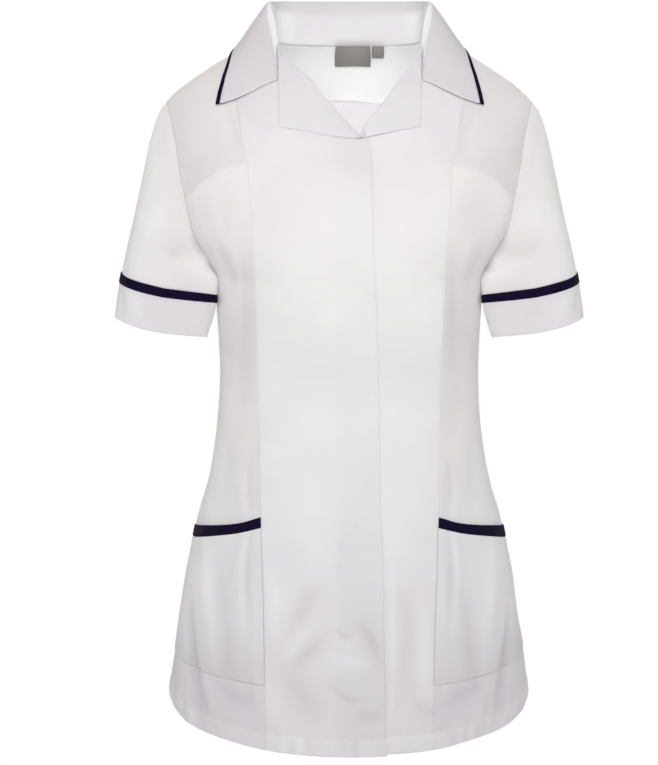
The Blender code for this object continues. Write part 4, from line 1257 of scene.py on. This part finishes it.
def shell(name, grid, thickness, cloth, layers, warmth):
    """Closed shell of cloth: the grid is its outer face, its rim is rounded."""
    rows, columns = grid.shape[:2]
    count = rows * columns
    index = np.arange(count).reshape(rows, columns)
    rim = np.concatenate([
        index[0, :-1], index[:-1, -1], index[-1, :0:-1], index[:0:-1, 0],
    ])
    inwards = grid.copy()
    inwards[:, 0], inwards[:, -1] = grid[:, 1], grid[:, -2]
    inwards[0], inwards[-1] = grid[1], grid[-2]
    outward = unit((grid - inwards).reshape(-1, 3)[rim])
    outer, inner = (
        face.reshape(-1, 3) for face in (grid, moved_out(grid, -thickness))
    )
    middle = (outer[rim] + inner[rim]) / 2 + outward * thickness * RIM_BULGE
    outer_faces = quads(rows, columns)
    after, ring = np.roll(rim, -1), 2 * count + np.arange(len(rim))
    next_ring = np.roll(ring, -1)
    faces = np.concatenate([
        outer_faces, outer_faces[:, ::-1] + count,
        points(after, rim, ring, next_ring),
        points(next_ring, ring, rim + count, after + count),
    ])
    places = points(reach(grid, "left"), reach(grid, "bottom")).reshape(-1, 2)
    carried = [places] + [
        np.broadcast_to(value, (rows, columns)).ravel() for value in (layers, warmth)
    ]
    return mesh_piece(
        name, np.concatenate([outer, inner, middle]), faces, cloth,
        *(np.concatenate([values, values, values[rim]]) for values in carried),
    )


def sheet(node, grid, layers, warmth=0, thickness=CLOTH, cloth=WHITE):
    """A shell of cloth that stands for a node, whose CAD part it hides."""
    piece = shell("cloth_" + node, grid, thickness, cloth, layers, warmth)
    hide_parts(node)


def stitches(name, lines, thread):
    """Rows of short stitches that lie on the cloth, each a bead of thread along its line."""
    around = np.linspace(0, 2 * np.pi, 7)[:-1]
    lengthwise = np.array([-1.0, -0.8, 0.0, 0.8, 1.0])[:, None, None]
    thick = np.array([0.15, 0.75, 1.0, 0.75, 0.15])[:, None] * STITCH_RADIUS
    raised = np.array([-1.4, -0.2, 0.5, -0.2, -1.4])[:, None] * STITCH_RADIUS
    upward = (raised + thick * np.sin(around))[..., None]
    sideways = (thick * np.cos(around))[..., None]
    pitch = STITCH_LENGTH + STITCH_GAP
    beads = []
    for line, normal in lines:
        middles = np.arange(pitch, travelled(line)[-1] - pitch / 2, pitch)
        start, end = (spaced(line, middles + sign * STITCH_LENGTH / 2) for sign in (-1, 1))
        out = unit(spaced(line, middles, normal))
        half = (end - start) / 2
        centre, half, out, across = (
            vectors[:, None, None]
            for vectors in ((start + end) / 2, half, out, unit(np.cross(out, half)))
        )
        beads.append(centre + lengthwise * half + upward * out + sideways * across)
    vertices = np.concatenate(beads).reshape(-1, 3)
    bead = quads(5, 7)
    bead = bead // 7 * 6 + bead % 7 % 6    # the seventh column is the first again
    faces = (bead + np.arange(0, len(vertices), 30)[:, None, None]).reshape(-1, 4)
    mesh_piece(name, vertices, faces, thread, vertices[:, :2], THREAD_TONE, 0)


# Panels of the body. The pockets and the facing are made from the draped panels, before
# these have their edges and hems.
front_left = tucked_under(front_grid(hidden_edge, BREAK_LEFT, ROLL_LEFT, LEFT_HEM_LIFT))
front_right = mirrored(front_grid(closure_edge, BREAK_RIGHT, ROLL_RIGHT))
front_left = hemmed(edged(draped(front_left, -1), "right top", "left bottom"), -1, 11)
front_right = hemmed(edged(draped(front_right, -1), "left top", "right bottom"), -1, 12)
sheet("front_left", front_left, front_tone(front_left),
      front_warmth(front_left))
sheet("front_right", front_right, front_tone(front_right),
      front_warmth(front_right))

side_front = side_front_grid()
side_fronts = {}
for side, sign in SIDES:
    side_fronts[side] = draped(one_side(side_front, sign), -1)
    panel = hemmed(edged(side_fronts[side], "left right top", "bottom"), -1, 13)
    sheet("side_front_" + side, panel, side_tone(panel),
          side_warmth(panel))

smooth_back = draped(back_grid(), 1)
back = hemmed(edged(smooth_back, "left right top", "bottom"), 1, 14)
sheet("back", back, back_tone(back))

# Sleeves
trim_lines = []
sleeve_shares = np.concatenate([
    np.linspace(0, 0.12, 14)[:-1],
    np.linspace(0.12, BAND_START, SLEEVE_ROWS - 12),
])
for side, sign in SIDES:
    sleeve = sleeve_part(sleeve_shares)
    from_cap = (reach(sleeve, "bottom") - CAP_PLACE) / CAP_WIDTH
    fullness = CAP_FULLNESS * np.exp(-from_cap ** 2)
    sleeve = dented(moved_out(sleeve, fullness), FOLDS_SLEEVE, sign)
    sleeve = edged(sleeve, "bottom left right top")
    tone = sleeve_tone(sleeve, FOLDS_SLEEVE, sign, 0.60, 1.0) + cap_tone(sleeve)
    sheet("sleeve_" + side, sleeve, tone, SLEEVE_WARMTH)
    band = sleeve_part(np.linspace(BAND_START, BAND_END, 7))
    band = edged(one_side(moved_out(band, BAND_LIFT), sign), folded="bottom top")
    sheet("cuff_trim_" + side, band, TRIM_TONE,
          thickness=BINDING, cloth=NAVY)
    cuff = sleeve_part(np.linspace(BAND_END, 1, 18))
    cuff = edged(dented(moved_out(cuff, CUFF_LIFT), FOLDS_CUFF, sign),
                 "bottom left right", "top")
    sheet("cuff_" + side, cuff,
          sleeve_tone(cuff, FOLDS_CUFF, sign, 0.42, 0.85), thickness=CUFF_CLOTH)
    trim_lines += [line_at(band, end, TRIM_STITCH) for end in ("bottom", "top")]

# Collar and revers
collar, edging = collar_grids()
collar = edged(collar, folded="bottom top")
sheet("collar", collar, collar_tone(collar))
edging = moved_out(edged(edging, folded="left right bottom top"), TRIM_LIFT)
sheet("collar_trim", edging, TRIM_TONE,
      thickness=BINDING, cloth=NAVY)

revere = edged(revere_grid(ROLL_LEFT, LEFT_REVERE_END, REVERE_EDGE_LEFT),
               folded="bottom right")
sheet("lapel_left", revere, REVERE_TONE)
revere = edged(mirrored(revere_grid(ROLL_RIGHT, 1, REVERE_EDGE_RIGHT)), folded="bottom left")
sheet("lapel_right", revere, REVERE_TONE)

# Pockets
for side, sign in SIDES:
    panel = one_side(side_fronts[side], sign)
    pocket = one_side(pocket_grid(panel, "bottom", "binding", POCKET_ROWS), sign)
    pocket = edged(pocket, "left right top", "bottom")
    sheet("pocket_" + side, pocket, pocket_tone(pocket))
    mouth = one_side(pocket_grid(panel, "binding", "mouth", TRIM_ROWS), sign)
    mouth = edged(moved_out(mouth, BINDING - CLOTH), "left right", "bottom top")
    sheet("pocket_trim_" + side, mouth, TRIM_TONE,
          thickness=BINDING, cloth=NAVY)
    trim_lines.append(line_at(mouth, "bottom", POCKET_STITCH))

# Back neck facing and labels
facing = edged(facing_grid(smooth_back), folded="bottom left right")
sheet("back_neck_facing", facing, FACING_TONE)
label = label_grid(smooth_back, LABEL_CENTRE, LABEL_WIDTH, LABEL_DROP)
tab = label_grid(smooth_back, TAB_CENTRE, TAB_WIDTH, TAB_DROP)
sheet("label_main", label, LABEL_TONE,
      thickness=LABEL_CLOTH, cloth=GREY)
sheet("label_size", tab, LABEL_TONE,
      thickness=LABEL_CLOTH, cloth=GREY)

# Stitching
hem_lines = [line_at(panel, "bottom", HEM_DEPTH) for panel in (front_left, front_right, back)]
stitches("stitching_hem", hem_lines, WHITE_THREAD)
stitches("stitching_trims", trim_lines, NAVY_THREAD)

# Camera, lights and floor
camera = placed("camera", bpy.data.cameras.new("camera"))
camera.location = CAMERA_PLACE
camera.rotation_euler = (np.radians(90 - CAMERA_PITCH), 0, 0)
camera.data.lens = CAMERA_LENS
camera.data.clip_start, camera.data.clip_end = CAMERA_CLIP
bpy.context.scene.camera = camera

# The side lights pass the sleeves, so that the flanks under the arms aren't in shade
shading = bpy.data.collections.new("shading_pieces")
for piece in list(bpy.context.scene.collection.all_objects):
    if piece.name.startswith("cloth_") and not piece.name.startswith(SLEEVE_PIECES):
        shading.objects.link(piece)
for name, place, aim, width, height, watts in LIGHTS:
    lamp = bpy.data.lights.new(name, "AREA")
    lamp.shape = "RECTANGLE"
    lamp.size, lamp.size_y, lamp.energy = width, height, watts
    light = placed(name, lamp)
    light.location = place
    light.rotation_euler = (Vector(place) - Vector(aim)).to_track_quat("Z", "Y").to_euler()
    light.visible_camera = False
    if name in SIDE_LIGHTS:
        light.light_linking.blocker_collection = shading

# White to the camera, and otherwise a soft light that is stronger from above
world = bpy.data.worlds.new("studio")
world.use_nodes = True
bpy.context.scene.world = world
tree = world.node_tree
seen = node_at(tree, "Background", Color=(1, 1, 1, 1), Strength=1.0)
direction = tree.nodes.new("ShaderNodeTexCoord")
upward = node_at(tree, "SeparateXYZ", [("Vector", direction.outputs["Generated"])])
strength = node_at(tree, "MapRange", [("Value", upward.outputs["Z"])], From_Min=-0.6,
                   From_Max=0.6, To_Min=WORLD_LIGHT[0], To_Max=WORLD_LIGHT[1])
lit = node_at(tree, "Background", [("Strength", strength.outputs["Result"])],
              Color=(1, 0.985, 1, 1))
path = tree.nodes.new("ShaderNodeLightPath")
choice = node_at(tree, "MixShader", [("Fac", path.outputs["Is Camera Ray"]),
                                     (1, lit.outputs[0]), (2, seen.outputs[0])])
tree.links.new(choice.outputs[0], tree.nodes["World Output"].inputs["Surface"])

floor_mesh = bpy.data.meshes.new("floor")
floor_mesh.from_pydata(FLOOR_CORNERS, [], [(0, 1, 2, 3)])
pale = bpy.data.materials.new("pale_floor")
pale.use_nodes = True
floor_shader = pale.node_tree.nodes["Principled BSDF"]
for socket, value in (("Base Color", (0.9, 0.9, 0.9, 1)), ("Roughness", 0.9),
                      ("Emission Color", (1, 1, 1, 1)), ("Emission Strength", 0.15)):
    floor_shader.inputs[socket].default_value = value
floor_mesh.materials.append(pale)
placed("floor", floor_mesh)

bpy.context.scene.view_settings.view_transform = "Standard"
